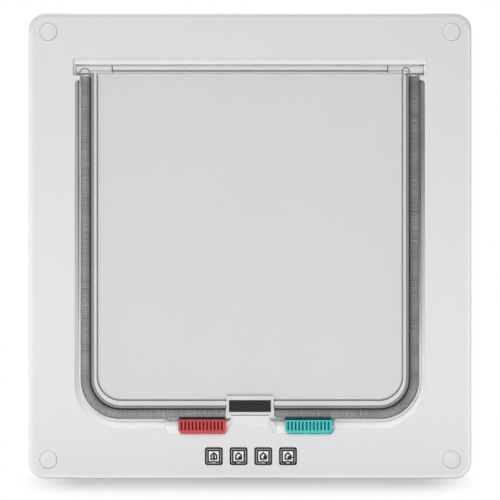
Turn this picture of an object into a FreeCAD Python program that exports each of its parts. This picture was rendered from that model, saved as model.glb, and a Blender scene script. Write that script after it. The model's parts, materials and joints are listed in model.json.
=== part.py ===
import FreeCAD
import Part
import Sketcher
import math
import os
from types import SimpleNamespace

# Cat flap with a clear swinging door, a pile seal and two sliding locks.
# Axes: +X to the right and +Z up as seen from inside the room, +Y towards the outdoors.
# The origin is the centre of the door hole, in the plane of the inner flange's back face.

DIMENSIONS = [
    ("flange_width", 235.0, "width of both flanges"),
    ("flange_height", 247.0, "height of both flanges"),
    ("flange_corner", 9.0, "corner radius of both flanges"),
    ("flange_depth", 12.0, "inner flange, front face to door face"),
    ("flange_round", 1.6, "rounding of the flange's front edge"),
    ("rear_depth", 8.0, "outer flange, door face to outdoor face"),
    ("door_thickness", 35.0, "gap between the two flanges"),
    ("skin", 2.2, "wall of the flanges"),
    ("tunnel_wall", 2.0, "wall of the tunnel and of its sleeve"),
    ("tunnel_length", 28.0, "inner tunnel's reach behind the door face"),
    ("sleeve_start", 13.0, "where the outer sleeve begins behind the door face"),
    ("sleeve_gap", 0.3, "play between the tunnel and its sleeve"),
    ("side_border", 27.4, "flange beside the tunnel mouth"),
    ("top_border", 27.05, "flange above the tunnel mouth"),
    ("sill_border", 31.3, "flange below the tunnel mouth"),
    ("opening_corner", 21.2, "radius of the tunnel's lower corners"),
    ("dish_side", 2.9, "width of the sloped surround at the sides"),
    ("dish_below", 4.9, "width of the sloped surround at the sill"),
    ("dish_above", 2.95, "width of the sloped surround at the top"),
    ("dish_drop", 8.45, "upper end of the side slopes below the mouth's top"),
    ("dish_end_round", 2.0, "rounding where the side slopes end"),
    ("dish_depth", 5.0, "depth of the slopes at mid height"),
    ("dish_tilt", 1.2, "lean of the slopes' inner edge, degrees"),
    ("dish_overlap", 0.2, "how far the slopes run past the mouth"),
    ("lip_width", 0.6, "wall of the thin lip round the mouth"),
    ("lip_setback", 2.7, "lip behind the flange face"),
    ("top_step_depth", 1.1, "depth of the step above the hinge"),
    ("top_step_height", 0.7, "height over which that step falls"),
    ("top_slope_depth", 2.0, "depth of the slope's lower edge above the hinge"),
    ("collar_side", 3.2, "wall outside the side slopes"),
    ("collar_top", 2.2, "wall above the top slope"),
    ("collar_sill", 5.3, "wall below the sill slope"),
    ("pivot_y", 7.0, "hinge line in front of the door face"),
    ("pivot_drop", 2.25, "hinge line below the mouth's top"),
    ("pivot_play", 0.06, "play of a hinge pin in the frame"),
    ("pin_radius", 1.25, "radius of a hinge pin"),
    ("pin_length", 8.0, "length of a hinge pin"),
    ("pin_setting", 0.01, "play of a hinge pin in the flap"),
    ("pin_tip", 0.3, "chamfer of a hinge pin"),
    ("pocket_end", 0.3, "gap between a horn and its pocket's end"),
    ("pocket_ledge", 1.3, "width of the ledge beyond a pocket's end"),
    ("pocket_ledge_depth", 3.0, "depth of that ledge from the front"),
    ("pocket_height", 6.05, "height of the hinge pockets below the mouth's top"),
    ("pocket_depth", 9.4, "depth of the hinge pockets from the front"),
    ("horn_reach", 2.1, "ends of the horns outside the mouth's sides"),
    ("horn_drop", 1.35, "straight part of a horn's section"),
    ("horn_flat", 0.05, "half width of the flat below a horn"),
    ("barrel_radius", 1.95, "radius of the hinge barrel"),
    ("bar_inset", 17.1, "ends of the thicker hinge bar inside the mouth's sides"),
    ("bar_radius", 2.08, "radius of the thicker hinge bar"),
    ("tick_width", 0.45, "width of the notch at each end of that bar"),
    ("tick_depth", 0.5, "depth of that notch"),
    ("horn_fillet", 2.2, "fillet below a horn"),
    ("rim_corner_step", 5.2, "how much tighter the rim's lower corners are than the mouth's"),
    ("rim_width", 2.9, "width of the rim at the sides"),
    ("rim_width_sill", 3.8, "width of the rim at the sill"),
    ("rim_thickness", 4.1, "rim, front to back"),
    ("ledge_width", 1.5, "width of the lower ledge along the rim's outside"),
    ("ledge_depth", 0.6, "ledge behind the rim's face"),
    ("pane_groove", 0.9, "width of the groove round the pane"),
    ("pane_groove_depth", 0.5, "depth of that groove below the pane's face"),
    ("pane_thickness", 2.6, "clear pane, front to back"),
    ("pane_drop", 2.2, "top of the pane below the hinge line"),
    ("groove_depth", 2.0, "depth of the seal's groove in the rim"),
    ("groove_width", 1.6, "width of the seal's groove"),
    ("seal_play", 0.05, "play of the seal's backing in its groove"),
    ("seal_gap", 0.3, "gap between the pile and the tunnel"),
    ("seal_base", 0.9, "gap between the pile and the rim, spanned by the backing"),
    ("seal_root", 0.3, "how far the backing runs into the pile"),
    ("pile_side", 4.5, "reach of the pile at the sides"),
    ("pile_sill", 4.7, "reach of the pile at the sill"),
    ("seal_thickness", 4.0, "pile, front to back"),
    ("seal_top_gap", 1.6, "top end of the pile below the horns"),
    ("seal_top_round", 1.5, "rounding of the pile's top end"),
    ("seal_end_gap", 1.4, "end of the pile beside the magnet housing"),
    ("trim_rise", 1.5, "trimmed pile above the sill"),
    ("trim_margin", 1.2, "how far the trim runs past a lock recess"),
    ("housing_half", 12.5, "half width of the magnet housing"),
    ("housing_height", 10.2, "height of the magnet housing"),
    ("housing_drop", 3.2, "bottom of the magnet housing below the rim"),
    ("housing_thickness", 6.0, "magnet housing, front to back"),
    ("housing_round", 0.8, "corner radius of the magnet housing"),
    ("magnet_side", 1.45, "housing beside the flap magnet"),
    ("magnet_below", 1.35, "housing below the flap magnet"),
    ("magnet_height", 6.15, "height of the flap magnet"),
    ("magnet_thickness", 3.0, "flap magnet, front to back"),
    ("magnet_inset", 0.3, "flap magnet's face behind the housing"),
    ("magnet_play", 0.1, "play of both magnets in their pockets"),
    ("nib_width", 4.5, "width of a lock nib"),
    ("nib_thickness", 2.0, "lock nib, front to back"),
    ("nib_hold", 3.7, "height of a lock nib on the rim's back"),
    ("nib_rise", 0.25, "bottom of a lock nib above the sill"),
    ("nib_gap", 0.5, "gap between a nib and its slide, side by side"),
    ("tongue_half", 12.0, "half width of the tongue's top"),
    ("tongue_rise", 2.0, "top of the tongue above the sill"),
    ("tongue_foot", 13.4, "half width of the tongue's foot"),
    ("tongue_inset", 1.2, "tongue's front behind the flange face"),
    ("frame_magnet_half", 10.0, "half length of the frame magnet"),
    ("frame_magnet_cover", 2.5, "tongue above the frame magnet"),
    ("frame_magnet_height", 5.0, "height of the frame magnet"),
    ("frame_magnet_depth", 7.4, "frame magnet, front to back"),
    ("magnet_cap_thickness", 1.4, "cap behind the frame magnet"),
    ("slide_length", 24.9, "length of a lock slide"),
    ("slide_travel", 5.3, "travel of a lock slide"),
    ("red_left", -38.0, "left end of the red slide"),
    ("teal_left", 18.5, "left end of the teal slide"),
    ("recess_lead", 0.7, "free recess beyond a slide's travel, left"),
    ("recess_tail", 0.8, "free recess beyond a slide, right"),
    ("recess_depth", 1.6, "floor of a lock recess below the sill"),
    ("recess_slant", 2.2, "slant at a recess's ends"),
    ("recess_round", 1.4, "rounding at a recess's ends"),
    ("scoop_height", 5.8, "bottom of a thumb scoop below the recess floor"),
    ("scoop_inset", 0.6, "ends of a thumb scoop's bottom inside its recess"),
    ("scoop_slant", 3.6, "slant of a thumb scoop's ends"),
    ("scoop_depth", 1.9, "depth of a thumb scoop"),
    ("scoop_round", 2.0, "rounding of a thumb scoop's corners"),
    ("grip_proud", 1.4, "grip in front of the flange face"),
    ("grip_thickness", 3.1, "grip, front to back"),
    ("grip_rise", 0.4, "bottom of the grip above the scoop's"),
    ("grip_corner", 2.4, "radius of the grip's lower corners"),
    ("plate_thickness", 1.3, "plate of a slide on the recess floor"),
    ("plate_play", 0.2, "play of a slide's plate over the recess floor"),
    ("plate_back_gap", 0.4, "plate's back edge before the door face"),
    ("latch_rise", 0.9, "top of a slide's latch above the sill"),
    ("latch_clearance", 0.3, "gap between a latch and a nib"),
    ("latch_thickness", 2.0, "latch of the red slide, front to back"),
    ("rib_count", 12, "grooves in a grip"),
    ("rib_pitch", 1.94, "pitch of the grip's grooves"),
    ("rib_width", 0.95, "width of a grip groove"),
    ("rib_margin", 0.75, "grip above its grooves"),
    ("rib_length", 4.6, "length of a grip groove"),
    ("rib_depth", 0.8, "depth of a grip groove"),
    ("foot_half", 3.0, "half length of a slide's snap foot"),
    ("foot_thickness", 2.6, "stem of the snap foot, front to back"),
    ("foot_back", 4.2, "back of the stem before the door face"),
    ("foot_play", 0.2, "play of the stem in its slot"),
    ("foot_split", 0.8, "slit in the snap foot"),
    ("barb_width", 0.7, "reach of a barb beyond the stem"),
    ("barb_gap", 0.2, "gap between a barb and the collar"),
    ("barb_height", 1.8, "height of a barb"),
    ("screw_side", 10.6, "screws inside the flange's side edges"),
    ("screw_edge", 10.1, "screws inside the flange's upper and lower edges"),
    ("screw_radius", 2.0, "radius of a screw's shank"),
    ("screw_tip", 6.0, "screw's reach into the outer flange"),
    ("screw_point", 0.8, "chamfer at a screw's tip"),
    ("screw_play", 0.15, "play of a screw in the inner flange"),
    ("thread_play", 0.02, "play of a screw in its blind boss"),
    ("head_radius", 3.6, "radius of a screw's head"),
    ("head_height", 2.2, "height of a screw's head"),
    ("head_play", 0.35, "play around a screw's head"),
    ("head_seat", 4.8, "seat of a screw's head behind the front face"),
    ("drive_length", 4.0, "length of the cross in a screw's head"),
    ("drive_width", 0.9, "width of the cross in a screw's head"),
    ("drive_depth", 1.3, "depth of the cross in a screw's head"),
    ("cap_radius", 4.6, "radius of a screw cap"),
    ("cap_seat", 1.2, "cap's seat behind the front face"),
    ("cap_edge", 0.5, "cap's edge in front of the flange face"),
    ("cap_dome", 0.5, "rise of the cap's top above its edge"),
    ("cap_slope", 1.2, "width of the sloped ring round the cap's top"),
    ("cap_play", 0.1, "play around a cap"),
    ("cap_skirt", 1.2, "length of the cap's skirt"),
    ("cap_wall", 0.9, "wall of the cap's skirt"),
    ("boss_radius", 6.4, "radius of a screw boss"),
    ("rear_boss_radius", 5.0, "radius of a blind boss outdoors"),
    ("rib_wall", 1.6, "thickness of the stiffening ribs"),
    ("rib_setback", 1.0, "ribs behind the flange's back edge"),
    ("side_rib_pitch", 40.0, "pitch of the ribs at the sides"),
    ("end_rib_pitch", 38.0, "pitch of the ribs above and below"),
    ("arch_radius", 2.9, "engraved arch on the left horn"),
    ("arch_inset", 4.4, "arch inside the horn's end"),
    ("arch_drop", 2.6, "foot of the arch below the hinge line"),
    ("ring_radius", 2.0, "engraved ring on the right horn"),
    ("ring_inset", 9.4, "ring inside the horn's end"),
    ("ring_drop", 1.3, "ring below the hinge line"),
    ("line_width", 0.35, "width of both engraved lines"),
    ("line_depth", 0.35, "depth of both engraved lines"),
]


class Size:
    """A length with its value in millimetres and the sheet's formula for it."""

    def __init__(self, value, text):
        self.value = value
        self.text = text

    def __add__(self, other):
        return Size(self.value + number(other), f"({self.text} + {formula(other)})")

    def __radd__(self, other):
        return self + other

    def __sub__(self, other):
        return Size(self.value - number(other), f"({self.text} - {formula(other)})")

    def __rsub__(self, other):
        return -self + other

    def __mul__(self, other):
        return Size(self.value * number(other), f"({self.text} * {formula(other)})")

    def __rmul__(self, other):
        return self * other

    def __truediv__(self, other):
        return Size(self.value / number(other), f"({self.text} / {formula(other)})")

    def __neg__(self):
        return Size(-self.value, f"(0 - {self.text})")


def number(size):
    return size.value if isinstance(size, Size) else float(size)


def formula(size):
    return size.text if isinstance(size, Size) else f"({float(size)})"


doc = FreeCAD.newDocument("CatFlap")
sheet = doc.addObject("Spreadsheet::Sheet", "Sizes")
for row, (alias, amount, meaning) in enumerate(DIMENSIONS, start=1):
    sheet.set(f"A{row}", meaning)
    sheet.set(f"B{row}", str(amount))
    sheet.setAlias(f"B{row}", alias)
doc.recompute()
S = SimpleNamespace(**{alias: Size(amount, f"Sizes.{alias}") for alias, amount, meaning in DIMENSIONS})


# Sketches and features

def new_body(label):
    body = doc.addObject("PartDesign::Body", label)
    body.Label = label
    return body


def origin_plane(body, role):
    return next(item for item in body.Origin.OriginFeatures if item.Role == role)


def sketch_on(body, role, name, offset, tilt=None):
    sketch = body.newObject("Sketcher::SketchObject", name)
    sketch.AttachmentSupport = [(origin_plane(body, role), "")]
    sketch.MapMode = "FlatFace"
    if tilt is not None:
        turn = FreeCAD.Rotation(FreeCAD.Vector(1, 0, 0), number(tilt))
        sketch.AttachmentOffset = FreeCAD.Placement(FreeCAD.Vector(), turn)
        sketch.setExpression("AttachmentOffset.Rotation.Angle", formula(tilt))
    sketch.setExpression("AttachmentOffset.Base.z", formula(offset))
    return sketch


def front_sketch(body, name, y):
    """A sketch seen from the front: its x is the row's X and its y is the row's Z."""
    return sketch_on(body, "XZ_Plane", name, -y)


def side_sketch(body, name, x):
    """A sketch seen from the right: its x is the row's Y and its y is the row's Z."""
    return sketch_on(body, "YZ_Plane", name, x)


def pin_point(sketch, geometry, place, x, y):
    """Ties one point of a sketch to its distances from the sketch's origin."""
    for kind, size in (("DistanceX", x), ("DistanceY", y)):
        index = sketch.addConstraint(Sketcher.Constraint(kind, -1, 1, geometry, place, number(size)))
        sketch.setExpression(f"Constraints[{index}]", formula(size))


def circle(sketch, x, y, radius):
    centre = FreeCAD.Vector(number(x), number(y), 0)
    index = sketch.addGeometry(Part.Circle(centre, FreeCAD.Vector(0, 0, 1), number(radius)))
    pin_point(sketch, index, 3, x, y)
    limit = sketch.addConstraint(Sketcher.Constraint("Radius", index, number(radius)))
    sketch.setExpression(f"Constraints[{limit}]", formula(radius))


def outline(sketch, corners):
    """A closed outline through corners (x, y) or (x, y, radius) with tangent arcs."""
    count = len(corners)
    points = [FreeCAD.Vector(number(corner[0]), number(corner[1]), 0) for corner in corners]
    starts, ends, arcs = [], [], {}
    for i, corner in enumerate(corners):
        to_last = (points[i - 1] - points[i]).normalize()
        to_next = (points[(i + 1) % count] - points[i]).normalize()
        if len(corner) == 2:
            starts.append(points[i])
            ends.append(points[i])
            continue
        half = to_last.getAngle(to_next) / 2
        reach = number(corner[2]) / math.tan(half)
        middle = (to_last + to_next).normalize()
        slant = (reach ** 2 + number(corner[2]) ** 2) ** 0.5
        centre = points[i] + middle * slant
        nearest = points[i] + middle * (slant - number(corner[2]))
        ends.append(points[i] + to_last * reach)
        starts.append(points[i] + to_next * reach)
        arcs[i] = (ends[i], nearest, starts[i], centre)
    lines = [sketch.addGeometry(Part.LineSegment(starts[i], ends[(i + 1) % count])) for i in range(count)]
    for i, corner in enumerate(corners):
        before = lines[i - 1]
        after = lines[i]
        if i not in arcs:
            sketch.addConstraint(Sketcher.Constraint("Coincident", before, 2, after, 1))
            pin_point(sketch, after, 1, corner[0], corner[1])
            continue
        bend = sketch.addGeometry(Part.Arc(*arcs[i][:3]))
        first = sketch.getPoint(bend, 1)
        forward = first.distanceToPoint(ends[i]) < first.distanceToPoint(starts[i])
        entry, leave = (1, 2) if forward else (2, 1)
        sketch.addConstraint(Sketcher.Constraint("Tangent", before, 2, bend, entry))
        sketch.addConstraint(Sketcher.Constraint("Tangent", bend, leave, after, 1))
        limit = sketch.addConstraint(Sketcher.Constraint("Radius", bend, number(corner[2])))
        sketch.setExpression(f"Constraints[{limit}]", formula(corner[2]))
        tip = sketch.addGeometry(Part.Point(points[i]), True)
        pin_point(sketch, tip, 1, corner[0], corner[1])
        sketch.addConstraint(Sketcher.Constraint("PointOnObject", tip, 1, before))
        sketch.addConstraint(Sketcher.Constraint("PointOnObject", tip, 1, after))


def extrude(body, kind, name, sketch, length, towards_normal=True, midplane=False):
    feature = body.newObject(f"PartDesign::{kind}", name)
    feature.Profile = sketch
    feature.setExpression("Length", formula(length))
    feature.Reversed = towards_normal == (kind == "Pocket")
    if midplane:
        feature.Midplane = True
    return feature


def block(body, kind, name, front, back, *outlines, circles=()):
    """Adds (Pad) or cuts (Pocket) outlines seen from the front, from y = front to y = back."""
    sketch = front_sketch(body, f"{name}_outline", front)
    for corners in outlines:
        outline(sketch, corners)
    for centre_x, centre_z, radius in circles:
        circle(sketch, centre_x, centre_z, radius)
    return extrude(body, kind, name, sketch, back - front, towards_normal=False)


def rectangle(left, right, bottom, top, low_round=None, top_round=None):
    low = () if low_round is None else (low_round,)
    high = () if top_round is None else (top_round,)
    return [(left, bottom, *low), (right, bottom, *low), (right, top, *high), (left, top, *high)]


def edges_at(feature, test):
    """Names of the feature's edges whose ends all pass the test."""
    return [
        f"Edge{i}"
        for i, edge in enumerate(feature.Shape.Edges, start=1)
        if all(test(vertex.Point) for vertex in edge.Vertexes)
    ]


def near(first, second):
    return abs(number(first) - number(second)) < 1e-4


def soften(body, kind, name, feature, test, size):
    """Fillets or chamfers the edges of the last feature that pass the test."""
    doc.recompute()
    dressing = body.newObject(f"PartDesign::{kind}", name)
    dressing.Base = (feature, edges_at(feature, test))
    dressing.setExpression("Radius" if kind == "Fillet" else "Size", formula(size))
    return dressing


def turned(body, name, corners):
    """A body of revolution about the row's Y axis: corners are (radius, y)."""
    sketch = sketch_on(body, "XY_Plane", f"{name}_section", 0)
    outline(sketch, corners)
    feature = body.newObject("PartDesign::Revolution", name)
    feature.Profile = sketch
    feature.ReferenceAxis = (sketch, ["V_Axis"])
    feature.Angle = 360
    return feature


def place(body, x, y, z):
    for axis, size in (("x", x), ("y", y), ("z", z)):
        body.setExpression(f"Placement.Base.{axis}", formula(size))


# Lines that several pieces share

door_face = 0
front = -S.flange_depth
rear_face = S.door_thickness + S.rear_depth
flap_y = -S.pivot_y
opening_half = S.flange_width / 2 - S.side_border
opening_top = S.flange_height / 2 - S.top_border
opening_bottom = S.flange_height / 2 - S.sill_border
dish_end = opening_top - S.dish_drop
collar_half = opening_half + S.dish_side + S.collar_side
collar_top = opening_top + S.dish_above + S.collar_top
collar_sill = opening_bottom + S.dish_below + S.collar_sill
pivot_z = opening_top - S.pivot_drop
horn_half = opening_half + S.horn_reach
horn_floor = pivot_z - S.horn_drop - S.barrel_radius
bar_half = opening_half - S.bar_inset
seal_half = opening_half - S.seal_gap
seal_sill = opening_bottom - S.seal_gap
seal_corner = S.opening_corner - S.seal_gap
seal_top = horn_floor - S.seal_top_gap
seal_end = S.housing_half + S.seal_end_gap
pile_inner = seal_half - S.pile_side
pile_floor = seal_sill - S.pile_sill
rim_half = pile_inner - S.seal_base
rim_bottom = pile_floor - S.seal_base
rim_corner = S.opening_corner - S.rim_corner_step
housing_bottom = rim_bottom + S.housing_drop
magnet_half = S.housing_half - S.magnet_side
magnet_bottom = housing_bottom - S.magnet_below
magnet_top = magnet_bottom - S.magnet_height
nib_front = flap_y + S.rim_thickness / 2
nib_back = nib_front + S.nib_thickness
tongue_top = opening_bottom - S.tongue_rise
frame_magnet_top = tongue_top + S.frame_magnet_cover
recess_floor = opening_bottom + S.recess_depth
scoop_bottom = recess_floor + S.scoop_height
grip_top = recess_floor - S.plate_play - S.plate_thickness
grip_bottom = scoop_bottom - S.grip_rise
latch_top = opening_bottom - S.latch_rise
rib_top = grip_top + S.rib_margin
screw_x = S.flange_width / 2 - S.screw_side
screw_z = S.flange_height / 2 - S.screw_edge
screw_places = {
    "upper_left": (-screw_x, screw_z),
    "upper_right": (screw_x, screw_z),
    "lower_left": (-screw_x, -screw_z),
    "lower_right": (screw_x, -screw_z),
}
slide_lefts = (S.red_left, S.teal_left)


def flange_outline(inset):
    half = S.flange_width / 2 - inset
    rise = S.flange_height / 2 - inset
    bend = S.flange_corner - inset
    return rectangle(-half, half, -rise, rise, bend, bend)


def tunnel_outline(grow):
    """The tunnel's section, square above and rounded below, grown by a wall."""
    half = opening_half + grow
    return rectangle(-half, half, -opening_bottom - grow, opening_top + grow, S.opening_corner + grow)


def flange_ribs(body, name, start, end, inner_half, inner_top, inner_sill):
    """Ribs across the hollow of a flange, from its collar to its rim."""
    half = S.flange_width / 2 - S.skin / 2
    rise = S.flange_height / 2 - S.skin / 2
    wall = S.rib_wall / 2
    ribs = []
    for step in (-1, 0, 1):
        level = S.side_rib_pitch * step
        across = S.end_rib_pitch * step
        for side in (-1, 1):
            edges = sorted((inner_half * side, half * side), key=number)
            ribs.append(rectangle(edges[0], edges[1], level - wall, level + wall))
        ribs.append(rectangle(across - wall, across + wall, inner_top, rise))
        ribs.append(rectangle(across - wall, across + wall, -rise, -inner_sill))
    return block(body, "Pad", name, start, end, *ribs)


# Inner frame: hollow flange, sloped surround, hinge pockets and lock recesses, and its tunnel

def slope_loft(body):
    """The sloped surround, deep at the top and shallow at the sill."""
    outer = front_sketch(body, "slope_outer", front)
    outline(outer, rectangle(
        -opening_half - S.dish_side, opening_half + S.dish_side,
        -opening_bottom - S.dish_below, dish_end,
        S.opening_corner + S.dish_side, S.dish_end_round,
    ))
    inner = sketch_on(body, "XZ_Plane", "slope_inner", S.flange_depth - S.dish_depth, S.dish_tilt)
    inset = S.dish_overlap
    outline(inner, rectangle(
        inset - opening_half, opening_half - inset,
        inset - opening_bottom, dish_end - S.dish_end_round / 2,
        S.opening_corner - inset, S.dish_end_round / 2,
    ))
    loft = body.newObject("PartDesign::SubtractiveLoft", "side_slopes")
    loft.Profile = outer
    loft.Sections = [inner]
    loft.Ruled = True


def front_frame():
    body = new_body("front_frame")
    flange = block(body, "Pad", "flange", front, door_face, flange_outline(0))
    soften(body, "Fillet", "front_round", flange, lambda point: near(point.y, front), S.flange_round)
    cavity_front = front + S.skin
    block(
        body, "Pocket", "hollow", cavity_front, door_face, flange_outline(S.skin),
        rectangle(-collar_half, collar_half, -collar_sill, collar_top, S.opening_corner + S.dish_side + S.collar_side),
    )
    bosses = [(x, z, S.boss_radius) for x, z in screw_places.values()]
    block(body, "Pad", "bosses", cavity_front - S.skin / 2, door_face, circles=bosses)
    flange_ribs(body, "ribs", cavity_front - S.skin / 2, -S.rib_setback, collar_half - S.collar_side / 2,
                collar_top - S.collar_top / 2, collar_sill - S.collar_side / 2)
    slope_loft(body)
    block(body, "Pad", "lip", front + S.lip_setback, front / 2, tunnel_outline(S.lip_width))
    block(body, "Pocket", "mouth", front, door_face, tunnel_outline(0))

    slope = side_sketch(body, "top_slope_section", 0)
    slope_back = front + S.top_slope_depth
    outline(slope, [
        (front, opening_top + S.dish_above), (front, opening_top - S.dish_above),
        (slope_back, opening_top - S.dish_above), (slope_back, opening_top),
        (front + S.top_step_depth, opening_top + S.dish_above - S.top_step_height),
    ])
    pocket_half = horn_half + S.pocket_end
    ledge_half = pocket_half + S.pocket_ledge
    extrude(body, "Pocket", "top_slope", slope, ledge_half * 2, midplane=True)
    inner = opening_half - S.skin
    pocket_floor = opening_top - S.pocket_height
    for name, half, depth in (
        ("hinge_pockets", pocket_half, S.pocket_depth),
        ("pocket_ledges", ledge_half, S.pocket_ledge_depth),
    ):
        block(
            body, "Pocket", name, front, front + depth,
            rectangle(-half, -inner, pocket_floor, opening_top),
            rectangle(inner, half, pocket_floor, opening_top),
        )
    bores = side_sketch(body, "pin_bore_circle", 0)
    circle(bores, flap_y, pivot_z, S.pin_radius + S.pivot_play)
    extrude(body, "Pocket", "pin_bores", bores, collar_half * 2 + S.skin, midplane=True)

    tongue_back = -S.plate_back_gap
    block(body, "Pad", "tongue", front + S.tongue_inset, tongue_back, [
        (-S.tongue_foot, -scoop_bottom), (S.tongue_foot, -scoop_bottom),
        (S.tongue_foot, -recess_floor), (S.tongue_half, -tongue_top, S.recess_round),
        (-S.tongue_half, -tongue_top, S.recess_round), (-S.tongue_foot, -recess_floor),
    ])
    lock_recesses(body)

    block(body, "Pocket", "screw_bores", front, door_face, circles=[
        (x, z, S.screw_radius + S.screw_play) for x, z in screw_places.values()])
    block(body, "Pocket", "head_bores", front, front + S.head_seat, circles=[
        (x, z, S.head_radius + S.head_play) for x, z in screw_places.values()])
    block(body, "Pocket", "cap_seats", front, front + S.cap_seat, circles=[
        (x, z, S.cap_radius + S.cap_play) for x, z in screw_places.values()])

    play = S.magnet_play
    pocket_depth = S.frame_magnet_depth + S.magnet_cap_thickness
    block(body, "Pocket", "magnet_pocket", -pocket_depth, door_face, rectangle(
        -S.frame_magnet_half - play, S.frame_magnet_half + play,
        -frame_magnet_top - S.frame_magnet_height - play, play - frame_magnet_top,
    ))
    return body


def lock_recesses(body):
    """For each slide a channel through the sill, a thumb scoop and a slot for its snap foot."""
    recesses, scoops, slots = [], [], []
    for left in slide_lefts:
        low = left - S.slide_travel - S.recess_lead
        high = left + S.slide_length + S.recess_tail
        recesses.append([
            (low, -recess_floor, S.recess_round), (high, -recess_floor, S.recess_round),
            (high + S.recess_slant, -opening_bottom), (high + S.recess_slant, -tongue_top),
            (low - S.recess_slant, -tongue_top), (low - S.recess_slant, -opening_bottom),
        ])
        scoops.append([
            (low + S.scoop_inset, -scoop_bottom, S.scoop_round),
            (high - S.scoop_inset, -scoop_bottom, S.scoop_round),
            (high - S.scoop_inset + S.scoop_slant, -recess_floor), (high, -opening_bottom),
            (low, -opening_bottom), (low + S.scoop_inset - S.scoop_slant, -recess_floor),
        ])
        middle = left + S.slide_length / 2
        slots.append(rectangle(
            middle - S.foot_half - S.slide_travel - S.foot_play, middle + S.foot_half + S.foot_play,
            -S.foot_back - S.foot_thickness - S.foot_play, S.foot_play - S.foot_back,
        ))
    for i, (recess, scoop, slot) in enumerate(zip(recesses, scoops, slots), start=1):
        block(body, "Pocket", f"recess_{i}", front, door_face, recess)
        block(body, "Pocket", f"scoop_{i}", front, front + S.scoop_depth, scoop)
        sketch = sketch_on(body, "XY_Plane", f"foot_slot_{i}_outline", -recess_floor)
        outline(sketch, slot)
        extrude(body, "Pocket", f"foot_slot_{i}", sketch, collar_sill - recess_floor, towards_normal=False)


def inner_tunnel():
    """The tube behind the mouth, bonded to the back of the flange's collar."""
    body = new_body("inner_tunnel")
    block(body, "Pad", "tube", door_face, S.tunnel_length, tunnel_outline(S.tunnel_wall), tunnel_outline(0))
    return body


# Outer frame: hollow flange with a sleeve over the tunnel

def rear_frame():
    body = new_body("rear_frame")
    sleeve_inner = S.tunnel_wall + S.sleeve_gap
    sleeve_outer = sleeve_inner + S.tunnel_wall
    flange = block(body, "Pad", "flange", S.door_thickness, rear_face, flange_outline(0))
    soften(body, "Fillet", "rear_round", flange, lambda point: near(point.y, rear_face), S.flange_round)
    hollow_back = rear_face - S.skin
    block(body, "Pocket", "hollow", S.door_thickness, hollow_back,
          flange_outline(S.skin), tunnel_outline(sleeve_outer))
    block(body, "Pad", "sleeve", S.sleeve_start, rear_face - S.skin / 2, tunnel_outline(sleeve_outer))
    flange_ribs(body, "ribs", S.door_thickness + S.rib_setback, hollow_back + S.skin / 2,
                opening_half + sleeve_outer - S.tunnel_wall / 2,
                opening_top + sleeve_outer - S.tunnel_wall / 2,
                opening_bottom + sleeve_outer - S.tunnel_wall / 2)
    bosses = [(x, z, S.rear_boss_radius) for x, z in screw_places.values()]
    block(body, "Pad", "bosses", S.door_thickness, hollow_back + S.skin / 2, circles=bosses)
    block(body, "Pocket", "passage", S.sleeve_start, rear_face, tunnel_outline(sleeve_inner))
    block(body, "Pocket", "screw_bores", S.door_thickness, S.door_thickness + S.screw_tip, circles=[
        (x, z, S.screw_radius + S.thread_play) for x, z in screw_places.values()])
    return body


# Swinging flap, clear, with its seal, magnet and hinge pins

def seal_path(outer_half, outer_sill, outer_bend, inner_half, inner_sill, inner_bend, top, end, top_round=None):
    """A J seen from the front: down the right side, round the corner and along to the housing."""
    corner = () if top_round is None else (top_round,)
    return [
        (end, -outer_sill), (outer_half, -outer_sill, outer_bend), (outer_half, top, *corner),
        (inner_half, top, *corner), (inner_half, -inner_sill, inner_bend), (end, -inner_sill),
    ]


def mirrored_in_x(corners):
    return [(-corner[0], *corner[1:]) for corner in corners]


def flap_outline(side, sill, top):
    """The flap's outline seen from the front, drawn in at its sides and its sill."""
    half = rim_half - side
    return rectangle(-half, half, sill - rim_bottom, top, rim_corner - side)


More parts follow.
